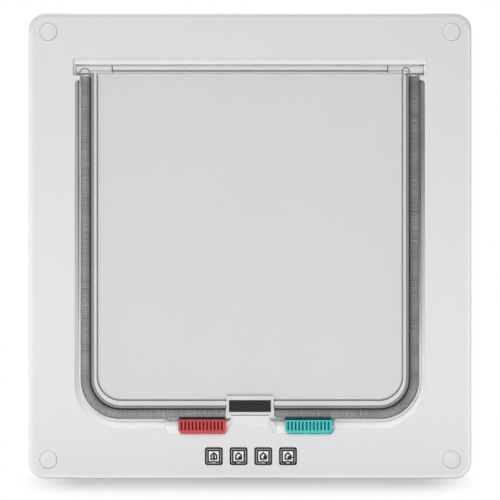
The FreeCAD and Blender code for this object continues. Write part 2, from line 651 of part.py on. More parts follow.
def flap():
    body = new_body("flap")
    half = S.rim_thickness / 2
    ledge_half = half - S.ledge_depth
    block(body, "Pad", "ledge", flap_y - ledge_half, flap_y + ledge_half, flap_outline(0, 0, pivot_z))
    ridge = flap_outline(S.ledge_width, S.ledge_width, pivot_z)
    block(body, "Pad", "rim", flap_y - half, flap_y + half, ridge)
    face = S.pane_thickness / 2
    floor = face - S.pane_groove_depth
    pane_top = pivot_z - S.pane_drop
    pane = flap_outline(S.rim_width, S.rim_width_sill, pane_top)
    inside = flap_outline(
        S.rim_width + S.pane_groove, S.rim_width_sill + S.pane_groove, pane_top - S.pane_groove)
    block(body, "Pocket", "front_pane", flap_y - half, flap_y - face, pane)
    block(body, "Pocket", "back_pane", flap_y + face, flap_y + half, pane)
    block(body, "Pocket", "front_groove", flap_y - face, flap_y - floor, pane, inside)
    block(body, "Pocket", "back_groove", flap_y + floor, flap_y + face, pane, inside)

    barrel = side_sketch(body, "barrel_circle", 0)
    circle(barrel, flap_y, pivot_z, S.barrel_radius)
    extrude(body, "Pad", "barrel", barrel, horn_half * 2, midplane=True)
    bar = side_sketch(body, "bar_circle", 0)
    circle(bar, flap_y, pivot_z, S.bar_radius)
    extrude(body, "Pad", "hinge_bar", bar, bar_half * 2, midplane=True)
    horns(body)
    notch_floor = flap_y - S.barrel_radius + S.tick_depth
    tick_end = bar_half + S.tick_width
    block(body, "Pocket", "ticks", flap_y - half, notch_floor, *[
        rectangle(start, start + S.tick_width, pivot_z - S.bar_radius, pivot_z + S.bar_radius)
        for start in (-tick_end, bar_half)])

    block(
        body, "Pad", "magnet_housing", flap_y - S.housing_thickness / 2, flap_y + S.housing_thickness / 2,
        rectangle(-S.housing_half, S.housing_half, -housing_bottom, S.housing_height - housing_bottom,
                  S.housing_round, S.housing_round),
    )
    play = S.magnet_play
    housing_front = flap_y - S.housing_thickness / 2
    block(
        body, "Pocket", "magnet_pocket", housing_front,
        housing_front + S.magnet_inset + S.magnet_thickness + play,
        rectangle(-magnet_half - play, magnet_half + play, -magnet_bottom - play, play - magnet_top),
    )

    depth = S.groove_depth
    slack = S.seal_play
    groove = seal_path(
        rim_half + depth, rim_bottom + depth, rim_corner + depth,
        rim_half - depth, rim_bottom - depth, rim_corner - depth,
        seal_top + slack, seal_end - slack,
    )
    width = S.groove_width / 2 + slack
    block(body, "Pocket", "right_groove", flap_y - width, flap_y + width, groove)
    block(body, "Pocket", "left_groove", flap_y - width, flap_y + width, mirrored_in_x(groove))

    pins = side_sketch(body, "pin_hole_circle", horn_half)
    circle(pins, flap_y, pivot_z, S.pin_radius + S.pin_setting)
    extrude(body, "Pocket", "right_pin_hole", pins, S.pin_length, towards_normal=False)
    pins = side_sketch(body, "left_pin_hole_circle", -horn_half)
    circle(pins, flap_y, pivot_z, S.pin_radius + S.pin_setting)
    extrude(body, "Pocket", "left_pin_hole", pins, S.pin_length)
    engraved_lines(body)
    return body


def horns(body):
    """Both horns: the barrel drawn downwards, with a fillet into the rim."""
    drop = S.horn_drop + S.barrel_radius
    radius = S.barrel_radius
    root = rim_half - S.rim_width
    section = [
        (flap_y - radius, pivot_z - drop, radius - S.horn_flat),
        (flap_y + radius, pivot_z - drop, radius - S.horn_flat),
        (flap_y + radius, pivot_z), (flap_y - radius, pivot_z),
    ]
    for name, start in (("right_horn", root), ("left_horn", -horn_half)):
        sketch = side_sketch(body, f"{name}_section", start)
        outline(sketch, section)
        extrude(body, "Pad", name, sketch, horn_half - root, towards_normal=True)
    web = S.rim_thickness / 2 - S.ledge_depth
    fillet = S.horn_fillet
    for name, side in (("right_web", 1), ("left_web", -1)):
        sketch = front_sketch(body, f"{name}_outline", flap_y - web)
        concave_corner(sketch, rim_half, horn_floor, fillet, side)
        extrude(body, "Pad", name, sketch, web * 2, towards_normal=False)


def concave_corner(sketch, x, y, radius, side):
    """Fills the corner under a horn and beside the rim, leaving a round hollow."""
    inside = x - radius / 2
    above = y + radius / 4
    centre = FreeCAD.Vector(number(x + radius) * side, number(y - radius), 0)
    reach = number(radius)
    points = [
        (inside, y - radius), (inside, above), (x + radius, above), (x + radius, y),
    ]
    vectors = [FreeCAD.Vector(number(px) * side, number(py), 0) for px, py in points]
    last = FreeCAD.Vector(number(x) * side, number(y - radius), 0)
    lines = [sketch.addGeometry(Part.LineSegment(a, b)) for a, b in zip(vectors, vectors[1:])]
    lines.append(sketch.addGeometry(Part.LineSegment(last, vectors[0])))
    for line, (px, py) in zip(lines[:3], points):
        pin_point(sketch, line, 1, px * side, py)
    pin_point(sketch, lines[2], 2, points[3][0] * side, points[3][1])
    pin_point(sketch, lines[3], 1, x * side, y - radius)
    sketch.addConstraint(Sketcher.Constraint("Coincident", lines[0], 2, lines[1], 1))
    sketch.addConstraint(Sketcher.Constraint("Coincident", lines[1], 2, lines[2], 1))
    sketch.addConstraint(Sketcher.Constraint("Coincident", lines[3], 2, lines[0], 1))
    diagonal = FreeCAD.Vector(-side, 1, 0).normalize() * reach
    bend = sketch.addGeometry(Part.Arc(vectors[3], centre + diagonal, last))
    first = sketch.getPoint(bend, 1)
    forward = first.distanceToPoint(vectors[3]) < first.distanceToPoint(last)
    entry, leave = (1, 2) if forward else (2, 1)
    sketch.addConstraint(Sketcher.Constraint("Coincident", lines[2], 2, bend, entry))
    sketch.addConstraint(Sketcher.Constraint("Coincident", bend, leave, lines[3], 1))
    limit = sketch.addConstraint(Sketcher.Constraint("Radius", bend, reach))
    sketch.setExpression(f"Constraints[{limit}]", formula(radius))


def engraved_lines(body):
    """The arch on the left horn and the ring on the right one."""
    surface = flap_y - S.barrel_radius
    for name, x, z, radius in (
        ("arch", S.arch_inset - horn_half, pivot_z - S.arch_drop, S.arch_radius),
        ("ring", horn_half - S.ring_inset, pivot_z - S.ring_drop, S.ring_radius),
    ):
        block(body, "Pocket", name, surface - S.line_depth, surface + S.line_depth, circles=[
            (x, z, radius), (x, z, radius - S.line_width)])


def pile_strip(label, side):
    """A pile seal: backing in the rim's groove, pile outwards, trimmed above the locks."""
    body = new_body(label)
    pile = seal_path(seal_half, seal_sill, seal_corner, pile_inner, pile_floor,
                     rim_corner + S.seal_base, seal_top, seal_end, S.seal_top_round)
    depth = S.groove_depth - S.seal_play
    overlap = S.seal_base + S.seal_root
    backing = seal_path(
        rim_half + overlap, rim_bottom + overlap, rim_corner + overlap,
        rim_half - depth, rim_bottom - depth, rim_corner - depth, seal_top, seal_end)
    if side < 0:
        pile = mirrored_in_x(pile)
        backing = mirrored_in_x(backing)
    half = S.seal_thickness / 2
    block(body, "Pad", "pile", flap_y - half, flap_y + half, pile)
    block(body, "Pad", "backing", flap_y - S.groove_width / 2, flap_y + S.groove_width / 2, backing)
    left = S.red_left if side < 0 else S.teal_left
    low = left - S.slide_travel - S.recess_lead - S.recess_slant - S.trim_margin
    high = left + S.slide_length + S.recess_tail + S.recess_slant + S.trim_margin
    block(body, "Pocket", "trim", flap_y - half, flap_y + half,
          rectangle(low, high, -opening_bottom, S.trim_rise - opening_bottom))
    return body


def lock_nib(label, left):
    """A block bonded to the rim's back, beside a slide that can stand before or behind it."""
    body = new_body(label)
    right = left - S.nib_gap
    block(body, "Pad", "block", nib_front, nib_back, rectangle(
        right - S.nib_width, right, S.nib_rise - opening_bottom, S.nib_hold - rim_bottom))
    return body


def flap_magnet():
    body = new_body("flap_magnet")
    start = flap_y - S.housing_thickness / 2 + S.magnet_inset
    block(body, "Pad", "bar", start, start + S.magnet_thickness,
          rectangle(-magnet_half, magnet_half, -magnet_bottom, -magnet_top))
    return body


def hinge_pin(label, side):
    body = new_body(label)
    start = -S.pin_length / 2
    sketch = side_sketch(body, "pin_circle", start)
    circle(sketch, 0, 0, S.pin_radius)
    shaft = extrude(body, "Pad", "shaft", sketch, S.pin_length)
    soften(body, "Chamfer", "ends", shaft, lambda point: True, S.pin_tip)
    middle = collar_half - S.pin_length / 2
    place(body, middle * side, flap_y, pivot_z)
    return body


# Magnet in the sill, behind the tongue

def frame_magnet():
    body = new_body("frame_magnet")
    cap = S.magnet_cap_thickness
    block(body, "Pad", "bar", -S.frame_magnet_depth - cap, -cap, rectangle(
        -S.frame_magnet_half, S.frame_magnet_half,
        -frame_magnet_top - S.frame_magnet_height, -frame_magnet_top))
    return body


def frame_magnet_cap():
    body = new_body("frame_magnet_cap")
    half = S.frame_magnet_half
    block(body, "Pad", "plate", -S.magnet_cap_thickness, door_face, rectangle(
        -half, half, -frame_magnet_top - S.frame_magnet_height, -frame_magnet_top))
    return body


# Lock slides

def lock_latch(label, left, start, end):
    """The rib on a slide's top that stands beside the nib once the slide is pushed to the left."""
    body = new_body(label)
    block(body, "Pad", "rib", start, end, rectangle(left, left + S.slide_length, -grip_top, -latch_top))
    return body


def lock_slide(label, left):
    """A slide: ribbed grip outside, plate on the recess floor and a snap foot."""
    body = new_body(label)
    grip_front = front - S.grip_proud
    grip_back = grip_front + S.grip_thickness
    plate_back = -S.plate_back_gap
    plate_floor = -grip_top - S.plate_thickness
    sketch = side_sketch(body, "section", left)
    outline(sketch, [
        (grip_front, -grip_bottom), (grip_back, -grip_bottom), (grip_back, plate_floor),
        (plate_back, plate_floor), (plate_back, -grip_top), (grip_front, -grip_top),
    ])
    grip = extrude(body, "Pad", "grip", sketch, S.slide_length)
    soften(body, "Fillet", "grip_corners", grip,
           lambda point: near(point.z, -grip_bottom) and near(point.x, left), S.grip_corner)
    doc.recompute()
    right = left + S.slide_length
    soften(body, "Fillet", "grip_corners_right", body.Tip,
           lambda point: near(point.z, -grip_bottom) and near(point.x, right), S.grip_corner)
    middle = left + S.slide_length / 2
    stem_back = -S.foot_back
    stem_front = stem_back - S.foot_thickness
    barb_top = -collar_sill - S.barb_gap
    barb_foot = barb_top - S.barb_height
    sketch = side_sketch(body, "foot_section", middle - S.foot_half)
    outline(sketch, [
        (stem_front, plate_floor + S.plate_thickness / 2), (stem_front, barb_top),
        (stem_front - S.barb_width, barb_top), (stem_front, barb_foot),
        (stem_back, barb_foot), (stem_back + S.barb_width, barb_top),
        (stem_back, barb_top), (stem_back, plate_floor + S.plate_thickness / 2),
    ])
    extrude(body, "Pad", "snap_foot", sketch, S.foot_half * 2)
    slit = side_sketch(body, "slit_section", middle - S.foot_half)
    slit_middle = stem_back - S.foot_thickness / 2
    outline(slit, rectangle(
        slit_middle - S.foot_split / 2, slit_middle + S.foot_split / 2,
        barb_foot, plate_floor - S.foot_split,
    ))
    extrude(body, "Pocket", "slit", slit, S.foot_half * 2)

    ribs_span = S.rib_pitch * (S.rib_count - 1)
    first = middle - ribs_span / 2
    groove = block(body, "Pocket", "groove", grip_front, grip_front + S.rib_depth, rectangle(
        first - S.rib_width / 2, first + S.rib_width / 2, -rib_top - S.rib_length, -rib_top))
    doc.recompute()
    pattern = body.newObject("PartDesign::LinearPattern", "grooves")
    pattern.Originals = [groove]
    pattern.Direction = (groove.Profile[0], ["H_Axis"])
    pattern.setExpression("Length", formula(ribs_span))
    pattern.setExpression("Occurrences", S.rib_count.text)
    body.Tip = pattern
    return body


# Screws and their caps

def screw(place_name, x, z):
    body = new_body(f"screw_{place_name}")
    length = S.flange_depth - S.head_seat + S.door_thickness + S.screw_tip - S.screw_point
    turned(body, "profile", [
        (0, 0), (S.head_radius - S.screw_point, 0), (S.head_radius, S.screw_point), (S.head_radius, S.head_height),
        (S.screw_radius, S.head_height), (S.screw_radius, S.head_height + length - S.screw_point),
        (S.screw_radius - S.screw_point, S.head_height + length), (0, S.head_height + length),
    ])
    arm = S.drive_width / 2
    reach = S.drive_length / 2
    block(body, "Pocket", "drive_across", 0, S.drive_depth, rectangle(-reach, reach, -arm, arm))
    block(body, "Pocket", "drive_up", 0, S.drive_depth, rectangle(-arm, arm, -reach, reach))
    place(body, x, front + S.head_seat - S.head_height, z)
    return body


def screw_cap(place_name, x, z):
    body = new_body(f"screw_cap_{place_name}")
    seat = S.cap_seat
    skirt = S.head_radius + S.head_play - S.cap_play
    turned(body, "profile", [
        (0, -S.cap_edge - S.cap_dome), (S.cap_radius - S.cap_slope, -S.cap_edge - S.cap_dome),
        (S.cap_radius, -S.cap_edge), (S.cap_radius, seat), (skirt, seat),
        (skirt, seat + S.cap_skirt), (skirt - S.cap_wall, seat + S.cap_skirt),
        (skirt - S.cap_wall, seat - S.cap_edge), (0, seat - S.cap_edge),
    ])
    place(body, x, front, z)
    return body


pieces = [
    front_frame(),
    inner_tunnel(),
    rear_frame(),
    flap(),
    pile_strip("pile_strip_left", -1),
    pile_strip("pile_strip_right", 1),
    lock_nib("nib_left", S.red_left),
    lock_nib("nib_right", S.teal_left),
    flap_magnet(),
    hinge_pin("hinge_pin_left", -1),
    hinge_pin("hinge_pin_right", 1),
    frame_magnet(),
    frame_magnet_cap(),
    lock_slide("red_slide", S.red_left),
    lock_slide("teal_slide", S.teal_left),
    lock_latch("red_latch", S.red_left, nib_back + S.latch_clearance,
               nib_back + S.latch_clearance + S.latch_thickness),
    lock_latch("teal_latch", S.teal_left, front - S.grip_proud + S.grip_thickness - S.latch_thickness / 2,
               nib_front - S.latch_clearance),
]
for place_name, (x, z) in screw_places.items():
    pieces.append(screw(place_name, x, z))
    pieces.append(screw_cap(place_name, x, z))

doc.recompute()
for item in doc.Objects:
    if "Invalid" in item.State or "Error" in item.State:
        raise RuntimeError(f"{item.Name} failed: {item.State}")
os.makedirs("parts", exist_ok=True)
for piece in pieces:
    if piece.Shape.isNull() or not piece.Shape.isValid():
        raise RuntimeError(f"{piece.Label} has no valid shape")
    piece.Shape.exportStep(f"parts/{piece.Label}.step")
    print(piece.Label, len(piece.Shape.Solids), round(piece.Shape.Volume, 2))
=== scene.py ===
"""The cat flap for its portrait: moulded white frames, clear flap, pile seal, locks and printed signs."""
import json
import math

import bpy
import numpy as np
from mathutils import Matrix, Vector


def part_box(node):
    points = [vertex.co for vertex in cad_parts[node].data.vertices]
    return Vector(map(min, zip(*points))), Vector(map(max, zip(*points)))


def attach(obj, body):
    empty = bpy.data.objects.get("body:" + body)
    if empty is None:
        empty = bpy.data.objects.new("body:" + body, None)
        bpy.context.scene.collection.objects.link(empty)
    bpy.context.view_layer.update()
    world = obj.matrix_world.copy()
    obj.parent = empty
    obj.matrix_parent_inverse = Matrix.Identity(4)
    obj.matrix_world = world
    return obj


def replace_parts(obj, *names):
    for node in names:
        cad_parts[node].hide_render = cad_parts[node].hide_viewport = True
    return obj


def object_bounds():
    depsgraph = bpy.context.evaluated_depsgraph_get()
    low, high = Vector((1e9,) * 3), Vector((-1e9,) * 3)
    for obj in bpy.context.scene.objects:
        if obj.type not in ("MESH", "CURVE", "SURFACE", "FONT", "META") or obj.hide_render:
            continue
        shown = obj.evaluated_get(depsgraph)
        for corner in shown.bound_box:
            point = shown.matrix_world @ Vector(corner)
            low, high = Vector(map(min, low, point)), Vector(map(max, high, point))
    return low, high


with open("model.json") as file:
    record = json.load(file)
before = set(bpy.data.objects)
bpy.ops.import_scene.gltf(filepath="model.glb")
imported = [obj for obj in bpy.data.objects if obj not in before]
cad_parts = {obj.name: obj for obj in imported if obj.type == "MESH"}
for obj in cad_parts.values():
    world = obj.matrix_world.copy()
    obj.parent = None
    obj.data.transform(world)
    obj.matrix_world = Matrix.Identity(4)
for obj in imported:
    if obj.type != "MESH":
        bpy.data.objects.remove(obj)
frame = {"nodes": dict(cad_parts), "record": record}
NODES = frame["nodes"]
LOW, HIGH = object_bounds()

# Sizes in metres, in the model's own frame: +Z up, the front faces -Y

MM = 0.001
FLANGE_FACE = float(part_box("front_frame")[0][1])
CORNERS = ("upper_left", "upper_right", "lower_left", "lower_right")

# Picture

PHOTO_SCALE = 0.5302 * MM
FRAME_CENTRE_ROW = 245.9
PICTURE_WIDTH = 500
CAMERA_DISTANCE = 1.2
SENSOR_WIDTH = 36.0

# Studio: each lamp has a name, a place, a size and a power

WORLD_LIGHT = 0.16
FLOOR_HALF = 3.0
FLOOR_TONE = (0.8, 0.8, 0.8)
# Painted shadow: the floor seen near the object takes a darker tone, fading out over these half size, side
# and front distances.
PAINTED_SHADOW_TONE = (0.65, 0.65, 0.652)
SHADE_HALF = 85 * MM
SHADE_SIDE = 38 * MM
SHADE_FRONT = 90 * MM
LAMPS = [
    ("key", (-0.5, -1.1, 1.15), (0.6, 0.6), 12.3),
    ("fill", (0.0, -1.6, 0.1), (1.8, 1.0), 1.0),
    ("low_strip", (0.0, -0.25, -0.1), (0.9, 0.04), 0.31),
    ("back", (0.0, 0.25, 1.15), (0.8, 0.8), 9.6),
    ("rear", (0.45, 1.3, 0.75), (0.7, 0.7), 5.0),
]
LAMP_AIM = {"low_strip": -0.12}

# White moulding, with painted light and shade: the slope round the mouth with its walls and their foot, then
# the flange's rim.
# A fall is given by the heights where it starts and ends and by its value at the end

WHITE_TONE = (0.8, 0.8, 0.803)
SLOPE_DEPTH = (FLANGE_FACE + 0.3 * MM, -0.5 * MM)
SLOPE_TOP = 88.6 * MM
# Painted light: the slope is painted paler, less so beside the tongue; painted shade falls up its side walls,
# with a dark crease at their foot.
SLOPE_PAINTED_LIGHT = 1.18
TONGUE_HALF = 14.5 * MM
TONGUE_PAINTED_LIGHT = 1.03
MOUTH_INSIDE = 89.9 * MM
LIP_SPAN = 0.65 * MM
MOUTH_OUTSIDE = 93.4 * MM
WALL_PAINTED_SHADE = {"left": (-40 * MM, 85 * MM, 0.62), "right": (-60 * MM, 55 * MM, 0.3)}
FOOT_PAINTED_CREASE = {"left": (90.95 * MM, 0.42 * MM), "right": (90.35 * MM, 0.4 * MM)}
FOOT_CREASE_SHADE_FALL = (-60 * MM, 30 * MM, 0.72)
# Painted highlight on the flange's rounded rim, turning to painted shade along its top.
EDGE_BEND = (108.5 * MM, 114.5 * MM)
EDGE_RADIUS = 9.0 * MM
RIM_BAND = (EDGE_RADIUS - 2.6 * MM, EDGE_RADIUS - 1.4 * MM)
RIM_DEPTH = FLANGE_FACE + 1.6 * MM
RIM_PAINTED_HIGHLIGHT = 0.15
RIM_HIGHLIGHT_TO_SHADE = (112 * MM, 121 * MM, -1.3)

# Lock slides: the grip's colour, then painted shade in its grooves and on its hidden top, by depth behind the
# face

LOCK_TRAVEL = 5.3 * MM
SLIDE_DEPTH = 1.6 * MM
GRIP_GROOVE = 0.25 * MM
GRIP_BACK = 1.1 * MM
RED_AND_PAINTED_SHADES = ((0.6, 0.095, 0.09), (0.3, 0.008, 0.007), (0.2, 0.01, 0.009))
TEAL_AND_PAINTED_SHADES = ((0.09, 0.61, 0.59), (0.0, 0.26, 0.25), (0.0, 0.08, 0.078))

# Clear flap: its tones by depth from its middle plane, below and above the hinge's zone; the ledge, edge and
# soft tones are painted shade, the pale tone painted light

FLAP_PLANE = -7.0 * MM
FLAP_DEPTH = 3.2 * MM
HINGE_ZONE = 92.3 * MM
RIM_TONE = (0.74, 0.742, 0.745)
LEDGE_PAINTED_SHADE = (0.3, 0.301, 0.303)
PANE_TONE = (0.635, 0.635, 0.637)
EDGE_PAINTED_SHADE = (0.16, 0.161, 0.163)
SOFT_PAINTED_SHADE = (0.42, 0.421, 0.423)
PAINTED_LIGHT_TONE = (0.92, 0.92, 0.922)
# Painted shade: the groove's floor and the ledge take the dark ledge tone, the hinge bar's faces the soft and
# ledge tones.
GROOVE_DEPTH = 1.05 * MM
FLAP_TONES_WITH_PAINTED_SHADE = [(0.0, LEDGE_PAINTED_SHADE), (GROOVE_DEPTH, PANE_TONE), (1.375 * MM, LEDGE_PAINTED_SHADE), (1.75 * MM, RIM_TONE)]
HORN_TONES_WITH_PAINTED_SHADE = [(0.0, SOFT_PAINTED_SHADE), (0.9 * MM, LEDGE_PAINTED_SHADE), (1.5 * MM, RIM_TONE)]
PANE_FACE = (1.21 * MM, 0.16 * MM)
PANE_ALPHA = 0.45
RIM_ALPHA = 0.98
# Painted light: the heights over which the pane under the bar is painted pale, against the bar's shadow.
PANE_PAINTED_LIGHT = (90.3 * MM, 91.6 * MM)

# The rim's groove: its floor is clear, with no painted shade, above the first level and inside the rounded
# corners

TOP_GROOVE = 90.8 * MM
GROOVE_BEND = (68.4 * MM, 69.15 * MM)
GROOVE_SPLIT = 12.55 * MM

# Lines of painted shade at the flap's edges, each a middle and a half width, and where they end

BAR_LINE = (93.0 * MM, 0.42 * MM)
BAR_HALF = 73.1 * MM
BAR_CREST = 95.3 * MM
ARM_LINE = (93.0 * MM, 0.3 * MM)
ARM_END = 85.5 * MM
HOUSING_LINE = (-79.45 * MM, 0.22 * MM)
HOUSING_HALF = 12.3 * MM
NOTCH_LINE = (73.22 * MM, 0.3 * MM)
ENGRAVED_DEPTH = -8.3 * MM
ENGRAVED_HALF = 0.25 * MM
ARCH_CENTRE = (-87.8 * MM, 91.6 * MM)
ARCH_RADIUS = 2.73 * MM
RING_CENTRE = (82.8 * MM, 92.9 * MM)
RING_RADIUS = 1.83 * MM

# Pile seal: tones are for the left half, side -1, and the right half, side 1, the right half painted darker
# as painted shade; the sill's fibres get painted light

SEED = 7
SEAL_CORNER = 20.9 * MM
SEAL_HEIGHT = {"side": 4.5 * MM, "sill": 4.7 * MM}
SEAL_BASE = 0.9 * MM
SEAL_BACKING = 1.6 * MM
SEAL_TRIM = -91.2 * MM
SEAL_TOP_RISE = 1.2 * MM
SEAL_SPREAD = 1.2 * MM
SEAL_SIDE_PAINTED_LIGHT = {-1: 0.84, 1: 0.66}
SILL_PAINTED_LIGHT = 0.14
TRIM_MARGIN = 0.6 * MM
CORE_SHARE = 0.9
CORE_HOLLOW = 0.16 * MM
FIBRE_ROWS = 9
FIBRE_PITCH = 0.26 * MM
FIBRE_WIDTH = 0.13 * MM
FIBRE_LEAN = {"side": 0.4 * MM, "sill": 1.3 * MM}
FIBRE_STATIONS = np.array([0.0, 0.5, 0.87, 1.0])
FIBRE_SLIMNESS = np.array([1.0, 0.95, 0.7, 0.4])
FIBRE_PAINTED_SHADES = np.array([0.4, 0.95, 1.0, 0.12])

# Screws and caps

SCREW_SIDES = 40
SHANK_RADIUS = 1.98 * MM
HEAD_HEIGHT = 2.2 * MM
THREAD_PITCH = 0.8 * MM
THREAD_DEPTH = 0.4 * MM
CAP_SIDES = 64
CAP_TOP = 0.76
CAP_DOME = 0.2 * MM
CAP_ROUND = 0.75 * MM
CAP_SKIRT = 2.2 * MM
CAP_ROOF = 1.7 * MM
CAP_INSIDE = (0.84, 0.64)

# Printed signs

SIGN_LEVEL = -111.5 * MM
SIGN_PITCH = 13.1 * MM
SIGN_CENTRE = 0.48 * MM
INK_HEIGHT = 0.05 * MM
INK_STEP = 0.15


# Meshes

def mesh_piece(name, points, faces, material, body, smooth=True):
    """A piece from an array of points and an array of faces with equal corner counts."""
    mesh = bpy.data.meshes.new(name)
    points = np.asarray(points, dtype=np.float32)
    faces = np.asarray(faces, dtype=np.int32)
    mesh.vertices.add(len(points))
    mesh.vertices.foreach_set("co", points.ravel())
    mesh.loops.add(faces.size)
    mesh.loops.foreach_set("vertex_index", faces.ravel())
    mesh.polygons.add(len(faces))
    corners = faces.shape[1]
    mesh.polygons.foreach_set("loop_start", np.arange(len(faces), dtype=np.int32) * corners)
    mesh.polygons.foreach_set("use_smooth", np.full(len(faces), smooth))
    mesh.update(calc_edges=True)
    mesh.validate()
    mesh.materials.append(material)
    piece = bpy.data.objects.new(name, mesh)
    bpy.context.scene.collection.objects.link(piece)
    if body is not None:
        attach(piece, body)
    return piece


def colour_points(piece, name, values):
    """Stores one number per point as an attribute that a material can read."""
    attribute = piece.data.attributes.new(name, "FLOAT", "POINT")
    attribute.data.foreach_set("value", np.asarray(values, dtype=np.float32))


def grid_faces(rows, columns, wrap_rows=False, wrap_columns=False):
    """Quads between neighbouring points of a grid, counted row by row."""
    row = np.arange(rows if wrap_rows else rows - 1)
    column = np.arange(columns if wrap_columns else columns - 1)
    r, c = np.meshgrid(row, column, indexing="ij")
    r2, c2 = (r + 1) % rows, (c + 1) % columns
    corners = (r * columns + c, r2 * columns + c, r2 * columns + c2, r * columns + c2)
    return np.stack(corners, axis=-1).reshape(-1, 4)


def prism_faces(sides, rings):
    """Triangles of a closed prism with the given sides and rings, its ends fanned."""
    quads = grid_faces(rings, sides, wrap_columns=True)
    walls = np.concatenate([quads[:, [0, 1, 2]], quads[:, [0, 2, 3]]])
    fan = np.arange(1, sides - 1)
    start = np.stack([np.zeros_like(fan), fan, fan + 1], axis=1)
    last = (rings - 1) * sides
    end = np.stack([np.full_like(fan, last), last + fan + 1, last + fan], axis=1)
    return np.concatenate([walls, start, end])


# Node helpers

def new_material(name):
    """A node material with its output and one Principled shader, and its node tree."""
    material = bpy.data.materials.new(name)
    material.use_nodes = True
    return material, material.node_tree


def feed(tree, socket, value):
    """Sets a socket to a plain value, or links it to another node's output."""
    if isinstance(value, bpy.types.NodeSocket):
        tree.links.new(value, socket)
    else:
        socket.default_value = value


def finish(material, inputs):
    """Feeds the Principled shader's sockets, given by name."""
    shader = material.node_tree.nodes["Principled BSDF"]
    for name, value in inputs.items():
        feed(material.node_tree, shader.inputs[name], value)


def reckon(tree, operation, *values):
    """A Math node working on sockets or plain numbers, its output returned."""
    node = tree.nodes.new("ShaderNodeMath")
    node.operation = operation
    for socket, value in zip(node.inputs, values):
        feed(tree, socket, value)
    return node.outputs[0]


def product(tree, first, *others):
    """All values multiplied: of masks, the points that all of them have."""
    for value in others:
        first = reckon(tree, "MULTIPLY", first, value)
    return first


def largest(tree, first, *others):
    """The largest of all values: of masks, the points that any of them has."""
    for value in others:
        first = reckon(tree, "MAXIMUM", first, value)
    return first


def beyond(tree, value, limit):
    """How far a value lies past a limit, or nought."""
    return reckon(tree, "MAXIMUM", reckon(tree, "SUBTRACT", value, limit), 0.0)


def root_of_squares(tree, a, b):
    """The length of the diagonal of two sides."""
    squares = reckon(tree, "ADD", reckon(tree, "MULTIPLY", a, a), reckon(tree, "MULTIPLY", b, b))
    return reckon(tree, "SQRT", squares)


def mapped(tree, value, low, high, start, stop):
    """A straight fall or rise from start to stop while the value goes from low to high."""
    node = tree.nodes.new("ShaderNodeMapRange")
    for name, number in (("From Min", low), ("From Max", high), ("To Min", start), ("To Max", stop)):
        node.inputs[name].default_value = number
    tree.links.new(value, node.inputs["Value"])
    return node.outputs["Result"]


def place_of(tree):
    """The point's own x, y and z in the model's frame, as three outputs."""
    place = tree.nodes.new("ShaderNodeTexCoord")
    split = tree.nodes.new("ShaderNodeSeparateXYZ")
    tree.links.new(place.outputs["Object"], split.inputs[0])
    return split.outputs


def noise_of(tree, scale, detail=2.0, stretch=None):
    """Noise by the point's own place, which may be stretched first."""
    place = tree.nodes.new("ShaderNodeTexCoord").outputs["Object"]
    if stretch is not None:
        mapping = tree.nodes.new("ShaderNodeMapping")
        mapping.inputs["Scale"].default_value = stretch
        tree.links.new(place, mapping.inputs["Vector"])
        place = mapping.outputs["Vector"]
    noise = tree.nodes.new("ShaderNodeTexNoise")
    noise.inputs["Scale"].default_value = scale
    noise.inputs["Detail"].default_value = detail
    tree.links.new(place, noise.inputs["Vector"])
    return noise.outputs["Fac"]


def attribute_of(tree, name):
    """The number that each point holds under a name."""
    attribute = tree.nodes.new("ShaderNodeAttribute")
    attribute.attribute_name = name
    return attribute.outputs["Fac"]


def scaled(tree, colour, factor):
    """A colour times a factor."""
    tint = tree.nodes.new("ShaderNodeVectorMath")
    tint.operation = "SCALE"
    feed(tree, tint.inputs[0], colour)
    feed(tree, tint.inputs["Scale"], factor)
    return tint.outputs[0]


def mixed(tree, mask, first, second):
    """The first colour, or the second where the mask is one."""
    mix = tree.nodes.new("ShaderNodeMix")
    mix.data_type = "RGBA"
    tree.links.new(mask, mix.inputs["Factor"])
    for name, colour in (("A", first), ("B", second)):
        feed(tree, mix.inputs[name], (*colour, 1.0) if isinstance(colour, tuple) else colour)
    return mix.outputs["Result"]


def stepped_ramp(tree, steps, span, depth):
    """A colour for each layer of depth, from (depth where it starts, colour) pairs within a span."""
    ramp = tree.nodes.new("ShaderNodeValToRGB")
    ramp.color_ramp.interpolation = "CONSTANT"
    band = ramp.color_ramp.elements
    band[1].position = steps[1][0] / span
    for start, _ in steps[2:]:
        band.new(start / span)
    for element, (_, colour) in zip(band, steps):
        element.color = (*colour, 1.0)
    tree.links.new(reckon(tree, "DIVIDE", depth, span), ramp.inputs["Fac"])
    return ramp.outputs["Color"]


def two_tones(tree, factor, dark, light):
    """A smooth ramp from one colour to another."""
    ramp = tree.nodes.new("ShaderNodeValToRGB")
    for element, colour in zip(ramp.color_ramp.elements, (dark, light)):
        element.color = (*colour, 1.0)
    tree.links.new(factor, ramp.inputs["Fac"])
    return ramp.outputs["Color"]


def rounded_normal(tree, radius):
    """The surface normal with sharp edges rounded to a radius."""
    soft = tree.nodes.new("ShaderNodeBevel")
    soft.samples = 6
    soft.inputs["Radius"].default_value = radius
    return soft.outputs["Normal"]


def bumped(tree, height, distance, strength, normal=None):
    """The normal with fine relief from a height."""
    bump = tree.nodes.new("ShaderNodeBump")
    bump.inputs["Distance"].default_value = distance
    feed(tree, bump.inputs["Strength"], strength)
    tree.links.new(height, bump.inputs["Height"])
    if normal is not None:
        tree.links.new(normal, bump.inputs["Normal"])
    return bump.outputs["Normal"]


# Materials

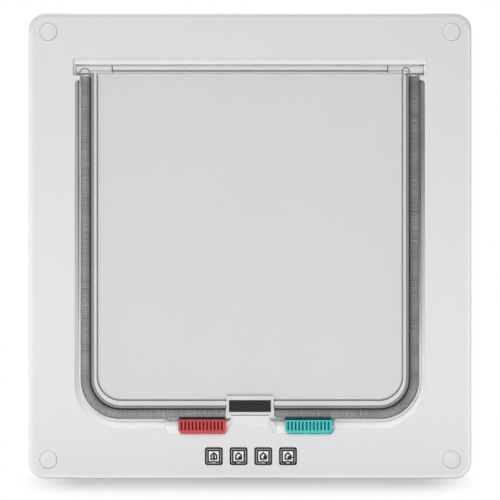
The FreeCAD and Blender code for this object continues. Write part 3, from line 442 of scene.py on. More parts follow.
def moulding_group():
    """Moulded plastic skin: faint flow clouds in the colour, fine grain in gloss and normal."""
    tree = bpy.data.node_groups.new("moulded_skin", "ShaderNodeTree")
    colour, number, vector = "NodeSocketColor", "NodeSocketFloat", "NodeSocketVector"
    sockets = {
        "INPUT": {"Colour": colour, "Cloud": number, "Gloss": number, "Grain": number, "Normal": vector},
        "OUTPUT": {"Colour": colour, "Roughness": number, "Normal": vector},
    }
    for way, kinds in sockets.items():
        for label, kind in kinds.items():
            tree.interface.new_socket(label, in_out=way, socket_type=kind)
    entry = tree.nodes.new("NodeGroupInput").outputs
    leave = tree.nodes.new("NodeGroupOutput").inputs
    clouds = noise_of(tree, 22.0, 3.0)
    lift = reckon(tree, "MULTIPLY_ADD", mapped(tree, clouds, 0.0, 1.0, -1.0, 1.0), entry["Cloud"], 1.0)
    feed(tree, leave["Colour"], scaled(tree, entry["Colour"], lift))
    feed(tree, leave["Roughness"], reckon(tree, "MULTIPLY_ADD", clouds, 0.08, entry["Gloss"]))
    grain = bumped(tree, noise_of(tree, 1400.0), 0.02 * MM, entry["Grain"], entry["Normal"])
    feed(tree, leave["Normal"], grain)
    return tree


MOULDED = moulding_group()


def moulded_plastic(name, cloud, gloss, grain, edge):
    """Satin plastic from the moulded skin, its sharp edges rounded; its colour is still to be fed."""
    material, tree = new_material(name)
    skin = tree.nodes.new("ShaderNodeGroup")
    skin.node_tree = MOULDED
    values = {"Cloud": cloud, "Gloss": gloss, "Grain": grain, "Normal": rounded_normal(tree, edge)}
    for label, value in values.items():
        feed(tree, skin.inputs[label], value)
    finish(material, {
        "Base Color": skin.outputs["Colour"], "Roughness": skin.outputs["Roughness"],
        "Normal": skin.outputs["Normal"], "IOR": 1.49,
    })
    return material, tree, skin.inputs["Colour"]


def slope_painted_light_and_shade(tree, x, y, z):
    """Painted light and shade on the slope as its share of the white tone: one outside it, paler on the
    slope, with painted shade falling up its side walls and darkest at their foot.
    """
    side = reckon(tree, "ABSOLUTE", x)
    sunk = product(tree, reckon(tree, "GREATER_THAN", y, SLOPE_DEPTH[0]),
                   reckon(tree, "LESS_THAN", y, SLOPE_DEPTH[1]),
                   reckon(tree, "LESS_THAN", side, MOUTH_OUTSIDE))
    left = reckon(tree, "LESS_THAN", x, 0.0)
    right = reckon(tree, "SUBTRACT", 1.0, left)
    start = reckon(tree, "MULTIPLY_ADD", left, LIP_SPAN, MOUTH_INSIDE)
    wall = product(tree, reckon(tree, "GREATER_THAN", side, start), reckon(tree, "LESS_THAN", z, SLOPE_TOP))
    # Painted shade: the side walls greyer towards the hinge, and a painted dark crease at their foot.
    fall, foot = 0.0, 0.0
    for half, word in ((left, "left"), (right, "right")):
        low, high, last = WALL_PAINTED_SHADE[word]
        fall = reckon(tree, "MULTIPLY_ADD", mapped(tree, z, low, high, SLOPE_PAINTED_LIGHT, last), half, fall)
        foot = reckon(tree, "MULTIPLY_ADD", reckon(tree, "COMPARE", side, *FOOT_PAINTED_CREASE[word]), half, foot)
    foot = product(tree, foot, mapped(tree, z, FOOT_CREASE_SHADE_FALL[0], FOOT_CREASE_SHADE_FALL[1], 0.0, FOOT_CREASE_SHADE_FALL[2]))
    fall = product(tree, fall, reckon(tree, "SUBTRACT", 1.0, foot))
    plain = largest(tree, reckon(tree, "GREATER_THAN", side, TONGUE_HALF),
                    reckon(tree, "GREATER_THAN", z, 0.0))
    lift = reckon(tree, "MULTIPLY_ADD", plain, SLOPE_PAINTED_LIGHT - TONGUE_PAINTED_LIGHT, TONGUE_PAINTED_LIGHT)
    change = reckon(tree, "MULTIPLY_ADD", wall, reckon(tree, "SUBTRACT", fall, lift),
                    reckon(tree, "SUBTRACT", lift, 1.0))
    return reckon(tree, "MULTIPLY_ADD", sunk, change, 1.0)


def rim_painted_highlight(tree, x, y, z):
    """The painted highlight on the flange's rounded rim, added to that share: more at its foot and sides,
    turning to painted shade along its top.
    """
    across = beyond(tree, reckon(tree, "ABSOLUTE", x), EDGE_BEND[0])
    up = beyond(tree, reckon(tree, "ABSOLUTE", z), EDGE_BEND[1])
    band = mapped(tree, root_of_squares(tree, across, up), *RIM_BAND, 0.0, RIM_PAINTED_HIGHLIGHT)
    turn = mapped(tree, z, RIM_HIGHLIGHT_TO_SHADE[0], RIM_HIGHLIGHT_TO_SHADE[1], 1.0, RIM_HIGHLIGHT_TO_SHADE[2])
    return product(tree, band, reckon(tree, "LESS_THAN", y, RIM_DEPTH), turn)


def white_plastic():
    """White moulding with painted light and shade: its sloped mouth is painted paler below and greyer towards
    the hinge, darkest at its foot.
    """
    material, tree, colour = moulded_plastic("white_plastic", 0.012, 0.34, 0.35, 0.45 * MM)
    place = place_of(tree)
    factor = reckon(tree, "ADD", slope_painted_light_and_shade(tree, *place), rim_painted_highlight(tree, *place))
    feed(tree, colour, scaled(tree, WHITE_TONE, factor))
    return material


def slide_plastic(name, colours):
    """Coloured lock plastic: its grooves and hidden top are painted in deeper shades of the same colour, as
    painted shade.
    """
    material, tree, colour = moulded_plastic(name, 0.03, 0.38, 0.5, 0.35 * MM)
    grip_front = float(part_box("red_slide")[0][1])
    depth = reckon(tree, "SUBTRACT", place_of(tree)[1], grip_front)
    # Painted shade: the grooves and the hidden top take deeper shades by depth.
    steps = list(zip((0.0, GRIP_GROOVE, GRIP_BACK), colours))
    feed(tree, colour, stepped_ramp(tree, steps, SLIDE_DEPTH, depth))
    finish(material, {"Specular IOR Level": 0.12})
    return material


def round_line(tree, x, z, centre, radius):
    """A mask of the points near a circle's line in the X-Z plane."""
    across = reckon(tree, "SUBTRACT", x, centre[0])
    up = reckon(tree, "SUBTRACT", z, centre[1])
    return reckon(tree, "COMPARE", root_of_squares(tree, across, up), radius, ENGRAVED_HALF)


def flap_painted_shade_lines(tree, x, y, z, hinge):
    """Two masks of painted shade: the dark lines below the bar, at its notches and engraved, and the soft
    ones.
    """
    side = reckon(tree, "ABSOLUTE", x)
    under = product(tree, reckon(tree, "COMPARE", z, *BAR_LINE), reckon(tree, "LESS_THAN", side, BAR_HALF))
    notch = product(tree, reckon(tree, "COMPARE", side, *NOTCH_LINE), hinge)
    arch = product(tree, round_line(tree, x, z, ARCH_CENTRE, ARCH_RADIUS),
                   reckon(tree, "GREATER_THAN", z, ARCH_CENTRE[1]))
    ring = round_line(tree, x, z, RING_CENTRE, RING_RADIUS)
    engraved = product(tree, largest(tree, arch, ring), reckon(tree, "LESS_THAN", y, ENGRAVED_DEPTH))
    arm = product(tree, reckon(tree, "COMPARE", z, *ARM_LINE), reckon(tree, "LESS_THAN", side, ARM_END))
    lid = product(tree, reckon(tree, "COMPARE", z, *HOUSING_LINE),
                  reckon(tree, "LESS_THAN", side, HOUSING_HALF))
    return largest(tree, under, notch, engraved), largest(tree, arm, lid)


def groove_floor(tree, x, z):
    """A mask of the inner side of the rim's groove: along the top, or inside a rounded rectangle."""
    along = beyond(tree, reckon(tree, "ABSOLUTE", x), GROOVE_BEND[0])
    down = beyond(tree, reckon(tree, "MULTIPLY", z, -1.0), GROOVE_BEND[1])
    inward = reckon(tree, "LESS_THAN", root_of_squares(tree, along, down), GROOVE_SPLIT)
    return largest(tree, reckon(tree, "GREATER_THAN", z, TOP_GROOVE), inward)


def clear_plastic():
    """Milky clear plastic: see-through pane, paler rim, painted shade on its ledges, grooves, edges and
    lines, and painted light under the bar and along its top.
    """
    material, tree = new_material("clear_flap_plastic")
    x, y, z = place_of(tree)
    depth = reckon(tree, "ABSOLUTE", reckon(tree, "SUBTRACT", y, FLAP_PLANE))
    hinge = reckon(tree, "GREATER_THAN", z, HINGE_ZONE)
    hanging = reckon(tree, "SUBTRACT", 1.0, hinge)
    dark_painted_shade_lines, soft_painted_shade_lines = flap_painted_shade_lines(tree, x, y, z, hinge)
    gutter = product(tree, groove_floor(tree, x, z), reckon(tree, "LESS_THAN", depth, GROOVE_DEPTH), hanging)
    # Painted light: the pane just under the bar is painted pale, against the bar's shadow.
    pane_painted_light_mask = product(tree, mapped(tree, z, *PANE_PAINTED_LIGHT, 0.0, 1.0), hanging,
                     reckon(tree, "LESS_THAN", depth, sum(PANE_FACE)))
    # Painted light: the top of the hinge bar is painted pale.
    bar_top_painted_light = reckon(tree, "GREATER_THAN", z, BAR_CREST)
    colour = stepped_ramp(tree, FLAP_TONES_WITH_PAINTED_SHADE, FLAP_DEPTH, depth)
    # Painted shade and light laid over the flap's tones: darker hinge faces, lines and edges, paler strips
    # under and along the top of the bar.
    layers = [
        (hinge, stepped_ramp(tree, HORN_TONES_WITH_PAINTED_SHADE, FLAP_DEPTH, depth)), (gutter, PANE_TONE),
        (pane_painted_light_mask, PAINTED_LIGHT_TONE), (soft_painted_shade_lines, SOFT_PAINTED_SHADE), (bar_top_painted_light, PAINTED_LIGHT_TONE), (dark_painted_shade_lines, EDGE_PAINTED_SHADE),
    ]
    for mask, tone in layers:
        colour = mixed(tree, mask, colour, tone)
    clouds = noise_of(tree, 35.0)
    pane = largest(tree, product(tree, reckon(tree, "COMPARE", depth, *PANE_FACE), hanging), gutter)
    finish(material, {
        "Base Color": scaled(tree, colour, reckon(tree, "MULTIPLY_ADD", clouds, 0.03, 0.985)),
        "Alpha": reckon(tree, "MULTIPLY_ADD", pane, PANE_ALPHA - RIM_ALPHA, RIM_ALPHA),
        "Normal": bumped(tree, clouds, 0.01 * MM, 0.3, rounded_normal(tree, 0.3 * MM)),
        "Roughness": reckon(tree, "MULTIPLY_ADD", clouds, 0.06, 0.2), "IOR": 1.45,
    })
    return material


def pile_material():
    """Grey pile: each fibre has its own tone, with painted light and shade in it and painted shade at the
    root and tip, and a soft sheen.
    """
    material, tree = new_material("grey_pile")
    grey = two_tones(tree, attribute_of(tree, "tone"), (0.035, 0.035, 0.036), (0.55, 0.55, 0.555))
    finish(material, {"Base Color": grey, "Roughness": 0.85, "Sheen Weight": 0.25})
    return material


def magnet_material():
    """Dark coated magnet with fine speckles in its colour and relief."""
    material, tree = new_material("dark_magnet")
    speckle = noise_of(tree, 900.0, 4.0)
    finish(material, {
        "Base Color": two_tones(tree, speckle, (0.012, 0.012, 0.0125), (0.03, 0.03, 0.031)),
        "Normal": bumped(tree, speckle, 0.03 * MM, 0.5), "Roughness": 0.55, "Specular IOR Level": 0.25,
    })
    return material


def steel_material():
    """Zinc-plated steel with turned streaks round the screw's axis."""
    material, tree = new_material("zinc_steel")
    streaks = noise_of(tree, 1.0, stretch=(300.0, 2600.0, 300.0))
    finish(material, {
        "Base Color": (0.62, 0.63, 0.65, 1.0), "Metallic": 1.0,
        "Roughness": mapped(tree, streaks, 0.0, 1.0, 0.22, 0.42),
    })
    return material


def ink_material():
    """Dark grey pad print, matt, a little thin in places, on a white ground."""
    material, tree = new_material("printed_ink")
    ink = two_tones(tree, noise_of(tree, 1800.0), (0.014, 0.014, 0.015), (0.035, 0.035, 0.037))
    print_colour = mixed(tree, attribute_of(tree, "pale"), ink, (0.93, 0.93, 0.93))
    finish(material, {"Base Color": print_colour, "Roughness": 0.6, "Specular IOR Level": 0.2})
    return material


WHITE = white_plastic()
RED = slide_plastic("red_plastic", RED_AND_PAINTED_SHADES)
TEAL = slide_plastic("teal_plastic", TEAL_AND_PAINTED_SHADES)
CLEAR = clear_plastic()
PILE = pile_material()
MAGNET = magnet_material()
STEEL = steel_material()
INK = ink_material()


def paint_nodes():
    """Gives every CAD node its finish."""
    finishes = {
        "white_plastic": WHITE, "clear_plastic": CLEAR, "grey_pile": PILE, "dark_magnet": MAGNET,
        "steel": STEEL, "red_plastic": RED, "teal_plastic": TEAL,
    }
    for row in frame["record"]["subparts"]:
        node = NODES[row["node"]]
        node.data.materials.clear()
        node.data.materials.append(finishes[row["material_slot"]])


# Pile seal: a ribbed core with fibres standing on it, along a J

class SealPath:
    """The pile's tip line: along the sill, round the corner and up the side, by its length s."""

    def __init__(self, node, side):
        low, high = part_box(node)
        self.side = side
        self.outer = max(abs(low[0]), abs(high[0]))
        self.end = min(abs(low[0]), abs(high[0])) - SEAL_SPREAD
        self.sill = low[2]
        self.top = high[2] + SEAL_TOP_RISE
        self.middle = (low[1] + high[1]) / 2
        self.thickness = high[1] - low[1]
        self.straight = self.outer - SEAL_CORNER - self.end
        self.bend = SEAL_CORNER * math.pi / 2
        self.length = self.straight + self.bend + self.top - self.sill - SEAL_CORNER

    def frame_at(self, s):
        """Tip point, outward direction and height at each s: straight, quarter circle, straight."""
        turn = np.clip((s - self.straight) / self.bend, 0, 1) * math.pi / 2
        along = np.clip(s, 0, self.straight)
        up = np.clip(s - self.straight - self.bend, 0, None)
        x = self.end + along + SEAL_CORNER * np.sin(turn)
        z = self.sill + SEAL_CORNER * (1 - np.cos(turn)) + up
        out = np.stack([np.sin(turn) * self.side, np.zeros_like(turn), -np.cos(turn)], axis=-1)
        tip = np.stack([x * self.side, np.full_like(x, self.middle), z], axis=-1)
        rise = SEAL_HEIGHT["sill"] + (SEAL_HEIGHT["side"] - SEAL_HEIGHT["sill"]) * np.sin(turn)
        return tip, out, rise

    def reach(self, tip, rise, lock_node):
        """How far the pile reaches from its root: all the way, or to the trim above a lock."""
        low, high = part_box(lock_node)
        over = (tip[..., 0] > low[0] - LOCK_TRAVEL - TRIM_MARGIN) & (tip[..., 0] < high[0] + TRIM_MARGIN)
        over &= tip[..., 2] < SEAL_TRIM
        return np.where(over, rise - (SEAL_TRIM - self.sill), rise)


def pile_wave(s, upright):
    """The bunching of the fibres: a slow and a fast sine of the length, added, fainter up the sides."""
    slow = np.sin(s / (2.9 * MM) + 1.6 * np.sin(s / (17 * MM)))
    fast = np.sin(s / (0.65 * MM) * math.pi)
    return 0.5 + 0.08 * slow + (0.38 - 0.25 * upright) * fast


def ribbon(path, name, edges, tones):
    """A closed band along the J between the lines of its section's corners, one array of points each."""
    rings = np.stack(edges, axis=1)
    steps, columns = rings.shape[:2]
    triangles = prism_faces(columns, steps)
    if path.side > 0:
        triangles = triangles[:, ::-1]
    band = mesh_piece(name, rings.reshape(-1, 3), triangles, PILE, "flap")
    colour_points(band, "tone", np.broadcast_to(tones, (steps, columns)).ravel())
    return band


def pile_core(path, name, lock_node):
    """The pile's dense core: a rectangle carried along the J, its sides waved by the bunching."""
    s = np.linspace(0.1 * MM, path.length - 0.2 * MM, int(path.length / (0.2 * MM)))
    tip, out, rise = path.frame_at(s)
    root = tip - out * rise[:, None]
    height = path.reach(tip, rise, lock_node) * CORE_SHARE
    wave = pile_wave(s, np.abs(out[:, 0]))
    half = path.thickness / 2 - 0.3 * MM - CORE_HOLLOW * (1 - wave)
    across = np.array([0.0, 1.0, 0.0])
    section = ((-1, 0.0), (-1, 0.35), (-1, 0.7), (-0.8, 1.0), (0.8, 1.0), (1, 0.7), (1, 0.35), (1, 0.0))
    edges = [root + out * (height * share)[:, None] + across * (half * side)[:, None]
             for side, share in section]
    # Painted shade: the core is darker towards its root, and varies with the bunching.
    tones = 0.25 + 0.4 * wave[:, None] * np.array([0.3, 0.8, 1, 1, 1, 1, 0.8, 0.3])[None]
    return ribbon(path, name, edges, tones)


def pile_backing(path, name):
    """The backing strip, a real part whose near-black tone is painted shade between the rim and the pile: a
    flat rectangle along the J, from the rim's groove into the pile.
    """
    s = np.linspace(0.05 * MM, path.length - 0.05 * MM, int(path.length / (1.0 * MM)))
    tip, out, rise = path.frame_at(s)
    root = tip - out * rise[:, None]
    across = np.array([0.0, SEAL_BACKING / 2, 0.0])
    inner, outer = -out * (SEAL_BASE + 1.6 * MM), out * 0.4 * MM
    edges = [root + inner - across, root + outer - across, root + outer + across, root + inner + across]
    # Painted shade: the backing's near-black tone stands in for the shade between the rim and the pile.
    return ribbon(path, name, edges, np.full((1, 4), 0.03))


def pile_fibres(path, name, lock_node):
    """Three-sided fibres in rows across the core, each leaning more along the J towards its tip."""
    random = np.random.default_rng(SEED + int(path.side > 0))
    count = int(path.length / FIBRE_PITCH)
    s, row = np.meshgrid(np.arange(count) * FIBRE_PITCH + 0.2 * MM, np.arange(FIBRE_ROWS), indexing="ij")
    s = np.clip(s + random.uniform(-0.12, 0.12, s.shape) * MM, 0.1 * MM, path.length - 0.2 * MM).ravel()
    tip, out, rise = path.frame_at(s)
    along = np.stack([-out[:, 2], np.zeros(len(s)), out[:, 0]], axis=1)
    across = np.array([0.0, 1.0, 0.0])
    offset = (row.ravel() / (FIBRE_ROWS - 1) - 0.5) * (path.thickness - 0.3 * MM)
    upright = np.abs(out[:, 0])
    bundle = pile_wave(s, upright)
    lean = FIBRE_LEAN["sill"] * (1 - upright) + FIBRE_LEAN["side"] * upright
    lean = lean * (0.9 + 0.1 * random.random(len(s)))
    room = (path.length - s if path.side > 0 else s) - 0.3 * MM
    lean = np.minimum(lean, np.clip(room, 0, None))
    reach = path.reach(tip + along * lean[:, None], rise, lock_node)
    length = reach * (1.0 - 0.02 * random.random(len(s)))
    root = tip - out * rise[:, None] + across * offset[:, None]
    width = FIBRE_WIDTH * (0.85 + 0.3 * random.random(len(s)))
    spin = random.uniform(0, 2 * math.pi, len(s))[:, None] + np.arange(3) * 2 * math.pi / 3
    grown = length[:, None] * FIBRE_STATIONS
    drift = lean[:, None] * FIBRE_STATIONS ** 2
    centre = root[:, None] + out[:, None] * grown[..., None] + along[:, None] * drift[..., None]
    spoke = along[:, None] * np.cos(spin)[..., None] + across * np.sin(spin)[..., None]
    points = centre[:, :, None] + (width[:, None] * FIBRE_SLIMNESS)[..., None, None] * spoke[:, None]
    front = path.middle - path.thickness / 2
    points[..., 1] = np.clip(points[..., 1], front, front + path.thickness)
    stations, corners = points.shape[1:3]
    single = prism_faces(corners, stations)
    faces = (single[None] + stations * corners * np.arange(len(s))[:, None, None]).reshape(-1, 3)
    if path.side < 0:
        faces = faces[:, ::-1]
    fibres = mesh_piece(name, points.reshape(-1, 3), faces, PILE, "flap", smooth=False)
    # Painted light and shade: each half's tone and the lift along the sill; the bunching and a random share
    # vary the fibres' tone.
    own = SEAL_SIDE_PAINTED_LIGHT[path.side] + SILL_PAINTED_LIGHT * (1 - upright) + 0.75 * (bundle - 0.5)
    own = own + random.uniform(-0.08, 0.08, len(s))
    # Painted shade at each fibre's root and tip.
    shade = np.repeat(own[:, None] * FIBRE_PAINTED_SHADES, corners, axis=1)
    colour_points(fibres, "tone", np.clip(shade, 0, 1).ravel())
    return fibres


def pile_seals():
    """Backing, core and fibres of both halves, in place of the plain strips."""
    for side, word, lock in ((-1, "left", "red_slide"), (1, "right", "teal_slide")):
        node = f"pile_strip_{word}"
        path = SealPath(node, side)
        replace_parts(pile_core(path, f"pile_core_{word}", lock), node)
        pile_backing(path, f"pile_backing_{word}")
        pile_fibres(path, f"pile_fibres_{word}", lock)


# Screws with a real thread, and their caps

def turned(node, radius, level, angle):
    """Points of a profile turned about a node's own line along Y: at each level a ring of a radius."""
    low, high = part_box(node)
    x, z = (low[0] + high[0]) / 2, (low[2] + high[2]) / 2
    deep = np.repeat(np.asarray(level)[:, None], len(angle), axis=1)
    return np.stack([x + radius * np.cos(angle), deep, z + radius * np.sin(angle)], axis=-1).reshape(-1, 3)


def threaded_screws():
    """A pan head, then a shank whose radius follows a rounded saw tooth of angle and length."""
    angle = np.linspace(0, 2 * math.pi, SCREW_SIDES, endpoint=False)
    for word in CORNERS:
        node = f"screw_{word}"
        low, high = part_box(node)
        head = (high[0] - low[0]) / 2
        seat = low[1] + HEAD_HEIGHT
        start, stop = seat + 0.3 * MM, high[1] - 0.9 * MM
        y = np.linspace(start, stop, int((stop - start) / THREAD_PITCH * 8))
        phase = (y[:, None] / THREAD_PITCH - angle[None] / (2 * math.pi)) % 1.0
        tooth = 1 - np.abs(2 * phase - 1)
        fade = np.clip(np.minimum(y - start, stop - y) / THREAD_PITCH, 0, 1)[:, None]
        thread = SHANK_RADIUS - THREAD_DEPTH * fade * (1 - np.clip(tooth * 1.4, 0, 1))
        before = np.array([(0.35 * head, low[1]), (0.8 * head, low[1] + 0.15 * MM), (head, low[1] + 0.8 * MM),
                           (head, seat), (SHANK_RADIUS, seat)])
        after = np.array([(SHANK_RADIUS, stop + 0.1 * MM), (0.6 * SHANK_RADIUS, high[1])])
        ends = [np.repeat(rings[:, :1], SCREW_SIDES, 1) for rings in (before, after)]
        radius = np.concatenate([ends[0], thread, ends[1]])
        level = np.concatenate([before[:, 1], y, after[:, 1]])
        faces = prism_faces(SCREW_SIDES, len(level))[:, ::-1]
        points = turned(node, radius, level, angle)
        screw = mesh_piece(f"threaded_screw_{word}", points, faces, STEEL, "frame")
        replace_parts(screw, node)


def screw_caps():
    """A shallow dome, an elliptic rim and a hollow skirt, turned round each screw's axis."""
    angle = np.linspace(0, 2 * math.pi, CAP_SIDES, endpoint=False)
    for word in CORNERS:
        node = f"screw_cap_{word}"
        low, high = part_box(node)
        full = (high[0] - low[0]) / 2
        crown = np.linspace(0.02, 1, 9) * CAP_TOP * full
        dome = low[1] + CAP_DOME * (crown / crown[-1]) ** 2
        bend = np.linspace(0, math.pi / 2, 9)[1:]
        rim = crown[-1] + (full - crown[-1]) * np.sin(bend)
        fall = dome[-1] + CAP_ROUND * (1 - np.cos(bend))
        skirt, roof = low[1] + CAP_SKIRT, low[1] + CAP_ROOF
        outer, inner = (share * full for share in CAP_INSIDE)
        radius = np.concatenate([crown, rim, [full, outer, outer, inner, inner]])
        level = np.concatenate([dome, fall, [skirt, skirt, high[1], high[1], roof]])
        faces = prism_faces(CAP_SIDES, len(radius))[:, ::-1]
        points = turned(node, radius[:, None], level, angle)
        cap = mesh_piece(f"rounded_cap_{word}", points, faces, WHITE, "frame")
        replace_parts(cap, node)


# Printed signs: a framed house for each way the locks can stand

def ring_plate(outer, inner, height):
    """A closed flat band between two outlines with equal point counts, raised by a height."""
    count = len(outer)
    rings = []
    for outline, level in ((inner, 0), (outer, 0), (outer, -height), (inner, -height)):
        rings.append(np.stack([outline[:, 0], np.full(count, level), outline[:, 1]], axis=1))
    quads = grid_faces(count, 4, wrap_rows=True, wrap_columns=True)
    return np.stack(rings, axis=1).reshape(-1, 3), np.concatenate([quads[:, [0, 1, 2]], quads[:, [0, 2, 3]]])


def filled_plate(outline, height):
    """A closed flat tile: walls round an outline, with two caps fanned from its middle."""
    count = len(outline)
    back = np.stack([outline[:, 0], np.zeros(count), outline[:, 1]], axis=1)
    face = back - np.array([0.0, height, 0.0])
    middle = np.array([back.mean(axis=0), face.mean(axis=0)])
    points = np.concatenate([back, face, middle])
    i = np.arange(count)
    j = (i + 1) % count
    walls = np.concatenate([np.stack([i, j, j + count], 1), np.stack([i, j + count, i + count], 1)])
    caps = np.concatenate([
        np.stack([j, i, np.full(count, 2 * count)], 1),
        np.stack([i + count, j + count, np.full(count, 2 * count + 1)], 1),
    ])
    return points, np.concatenate([walls, caps])


def rounded_square(half, corner, steps=6):
    """A square of the given half size with quarter-circle corners, anticlockwise."""
    turn = np.linspace(0, math.pi / 2, steps)
    pieces = []
    for quarter, (right, up) in enumerate(((1, 1), (-1, 1), (-1, -1), (1, -1))):
        angle = turn + quarter * math.pi / 2
        centre = (half - corner) * np.array([right, up])
        pieces.append(centre + corner * np.stack([np.cos(angle), np.sin(angle)], axis=1))
    return np.concatenate(pieces)


def disc(centre_x, centre_z, radius, steps=20):
    """A circle's outline."""
    angle = np.linspace(0, 2 * math.pi, steps, endpoint=False)
    return np.stack([centre_x + radius * np.cos(angle), centre_z + radius * np.sin(angle)], axis=1)


def box_outline(left, right, low, high):
    """An upright rectangle's outline."""
    return np.array([(left, low), (right, low), (right, high), (left, high)])


def notched_frame(half, peak):
    """A square whose lower side rises to a small peak in its middle."""
    foot = 0.3 * half
    return np.array([(-half, -half), (-foot, -half), (0, peak - half), (foot, -half),
                     (half, -half), (half, half), (-half, half)])


def sign_shapes(kind):
    """The flat shapes of one sign in millimetres, as (outer, inner or None) outlines."""
    walls = np.array([(-1.9, -1.95), (1.9, -1.95), (1.9, 0.6), (0.0, 2.4), (-1.9, 0.6)])
    room = np.array([(-1.05, -1.1), (1.05, -1.1), (1.05, 0.25), (0.0, 1.25), (-1.05, 0.25)])
    shapes = [
        (rounded_square(2.8, 0.1), None),
        (rounded_square(4.75, 1.2), rounded_square(3.78, 0.7)),
        (notched_frame(3.55, 0.5), notched_frame(2.62, 0.4)),
        (walls, room),
    ]
    figure = {
        0: [box_outline(-0.55, 0.55, -1.35, 0.3), disc(0.0, 0.5, 0.5)],
        1: [disc(0.75, -0.85, 0.95)],
        2: [disc(1.1, -0.55, 1.1)],
        3: [disc(0.6, -0.65, 0.9), np.array([(1.0, -1.4), (3.05, -0.6), (1.0, 0.35)])],
    }[kind]
    shapes += [(outline, None) for outline in figure]
    for side in {0: (), 1: (-1,), 2: (1,), 3: (-1, 1)}[kind]:
        edges = sorted((1.25 * side, 3.95 * side)), sorted((2.0 * side, 3.3 * side))
        shapes.append((box_outline(*edges[0], -3.95, -3.45), box_outline(*edges[1], -3.8, -3.6)))
    return shapes


def printed_signs():
    """Four signs in a row on the flange, above its lower edge, the ground of each marked as pale."""
    for kind in range(4):
        points, faces, pale, start = [], [], [], 0
        for order, (outer, inner) in enumerate(sign_shapes(kind)):
            height = INK_HEIGHT * (1 + INK_STEP * order)
            if inner is None:
                plate, cover = filled_plate(outer * MM, height)
            else:
                plate, cover = ring_plate(outer * MM, inner * MM, height)
            points.append(plate)
            faces.append(cover + start)
            pale.append(np.full(len(plate), 1.0 if order == 0 else 0.0))
            start += len(plate)
        centre = SIGN_CENTRE + SIGN_PITCH * (kind - 1.5)
        points = np.concatenate(points) + np.array([centre, FLANGE_FACE, SIGN_LEVEL])
        sign = mesh_piece(f"lock_sign_{kind + 1}", points, np.concatenate(faces), INK, "frame", smooth=False)
        colour_points(sign, "pale", np.concatenate(pale))


# Studio

def seen_rays(tree):
    """One for a ray that ends in the camera, straight or by gloss or through glass, else nought."""
    path = tree.nodes.new("ShaderNodeLightPath")
    ways = ("Is Camera Ray", "Is Transmission Ray", "Is Glossy Ray")
    return largest(tree, *(path.outputs[way] for way in ways))


def painted_shadow_fade(tree):
    """Painted shadow: nought under the object, rising smoothly to one a little way round it, by place on the
    floor.
    """
    steps = [
        ("SUBTRACT", (0.0, float(LOW[1] + HIGH[1]) / 2, 0.0)),
        ("ABSOLUTE", None),
        ("SUBTRACT", (SHADE_HALF, float(HIGH[1] - LOW[1]) / 2, 1.0)),
        ("MAXIMUM", (0.0, 0.0, 0.0)),
        ("DIVIDE", (SHADE_SIDE, SHADE_FRONT, 1.0)),
        ("LENGTH", None),
    ]
    value = tree.nodes.new("ShaderNodeTexCoord").outputs["Object"]
    for operation, constant in steps:
        node = tree.nodes.new("ShaderNodeVectorMath")
        node.operation = operation
        tree.links.new(value, node.inputs[0])
        if constant is not None:
            node.inputs[1].default_value = constant
        value = node.outputs["Value" if operation == "LENGTH" else "Vector"]
    smooth = tree.nodes.new("ShaderNodeMapRange")
    smooth.interpolation_type = "SMOOTHSTEP"
    tree.links.new(value, smooth.inputs["Value"])
    return smooth.outputs["Result"]


def studio_floor():
    """A white floor: shadowed near the object by the lamps and by a painted shadow, fading to the white of
    the background as it is seen.
    """
    level = float(LOW[2])
    quarters = ((-1, -1), (1, -1), (1, 1), (-1, 1))
    corners = [(right * FLOOR_HALF, back * FLOOR_HALF, level) for right, back in quarters]
    material, tree = new_material("floor_white")
    nodes, links = tree.nodes, tree.links
    nodes.remove(nodes["Principled BSDF"])
    bounce = nodes.new("ShaderNodeBsdfDiffuse")
    bounce.inputs["Color"].default_value = (*FLOOR_TONE, 1.0)
    near = nodes.new("ShaderNodeBsdfDiffuse")
    near.inputs["Color"].default_value = (*PAINTED_SHADOW_TONE, 1.0)
    far = nodes.new("ShaderNodeEmission")
    far.inputs["Strength"].default_value = 1.0
    ground = nodes.new("ShaderNodeMixShader")
    links.new(painted_shadow_fade(tree), ground.inputs["Fac"])
    links.new(near.outputs[0], ground.inputs[1])
    links.new(far.outputs[0], ground.inputs[2])
    both = nodes.new("ShaderNodeMixShader")
    links.new(seen_rays(tree), both.inputs["Fac"])
    links.new(bounce.outputs[0], both.inputs[1])
    links.new(ground.outputs[0], both.inputs[2])
    links.new(both.outputs[0], nodes["Material Output"].inputs["Surface"])
    floor = mesh_piece("studio_floor", corners, [(0, 1, 2, 3)], material, None, smooth=False)


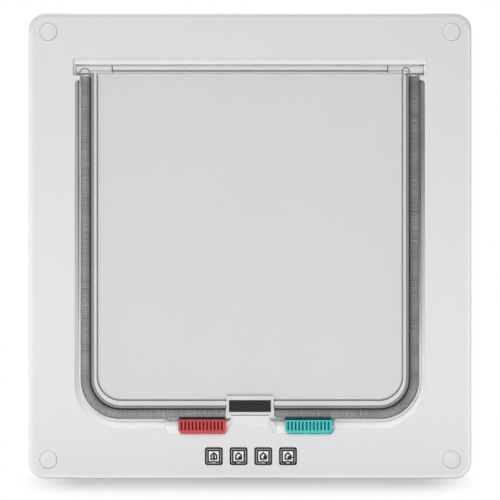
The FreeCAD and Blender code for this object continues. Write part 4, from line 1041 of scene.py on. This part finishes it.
def studio_world():
    """Even grey light all round, seen as white behind the object."""
    world = bpy.data.worlds.new("studio")
    bpy.context.scene.world = world
    world.use_nodes = True
    nodes, links = world.node_tree.nodes, world.node_tree.links
    soft = nodes["Background"]
    soft.inputs["Color"].default_value = (1.0, 1.0, 1.0, 1.0)
    soft.inputs["Strength"].default_value = WORLD_LIGHT
    white = nodes.new("ShaderNodeBackground")
    white.inputs["Color"].default_value = (1.0, 1.0, 1.0, 1.0)
    white.inputs["Strength"].default_value = 1.0
    mix = nodes.new("ShaderNodeMixShader")
    links.new(seen_rays(world.node_tree), mix.inputs["Fac"])
    links.new(soft.outputs[0], mix.inputs[1])
    links.new(white.outputs[0], mix.inputs[2])
    links.new(mix.outputs[0], nodes["World Output"].inputs["Surface"])


def softbox(name, place, aim, size, power):
    """An oblong lamp at a place, turned to face its aim, unseen by the camera."""
    lamp = bpy.data.lights.new(name, "AREA")
    lamp.shape = "RECTANGLE"
    lamp.size, lamp.size_y = size
    lamp.energy = power
    holder = bpy.data.objects.new(name, lamp)
    holder.location = place
    toward = np.array(aim, dtype=float) - np.array(place, dtype=float)
    yaw = math.atan2(toward[1], toward[0])
    pitch = math.atan2(-toward[2], math.hypot(toward[0], toward[1]))
    holder.rotation_euler = (math.pi / 2 - pitch, 0.0, yaw - math.pi / 2)
    holder.visible_camera = False
    holder.visible_glossy = name == "key"
    bpy.context.scene.collection.objects.link(holder)


def studio_camera():
    """A long lens square to the flange, framed as the photograph is."""
    camera = bpy.data.cameras.new("camera")
    holder = bpy.data.objects.new("camera", camera)
    holder.location = (0.0, -CAMERA_DISTANCE, 0.0)
    holder.rotation_euler = (math.pi / 2, 0.0, 0.0)
    half_view = PHOTO_SCALE * PICTURE_WIDTH / 2
    camera.sensor_width = SENSOR_WIDTH
    camera.lens = SENSOR_WIDTH / 2 * (CAMERA_DISTANCE + FLANGE_FACE) / half_view
    camera.shift_y = -(PICTURE_WIDTH / 2 - FRAME_CENTRE_ROW) / PICTURE_WIDTH
    bpy.context.scene.collection.objects.link(holder)
    bpy.context.scene.camera = holder


bpy.context.scene.view_settings.view_transform = "Standard"
studio_camera()
studio_world()
studio_floor()
for name, place, size, power in LAMPS:
    softbox(name, place, (0.0, 0.0, LAMP_AIM.get(name, 0.0)), size, power)
paint_nodes()
pile_seals()
threaded_screws()
screw_caps()
printed_signs()
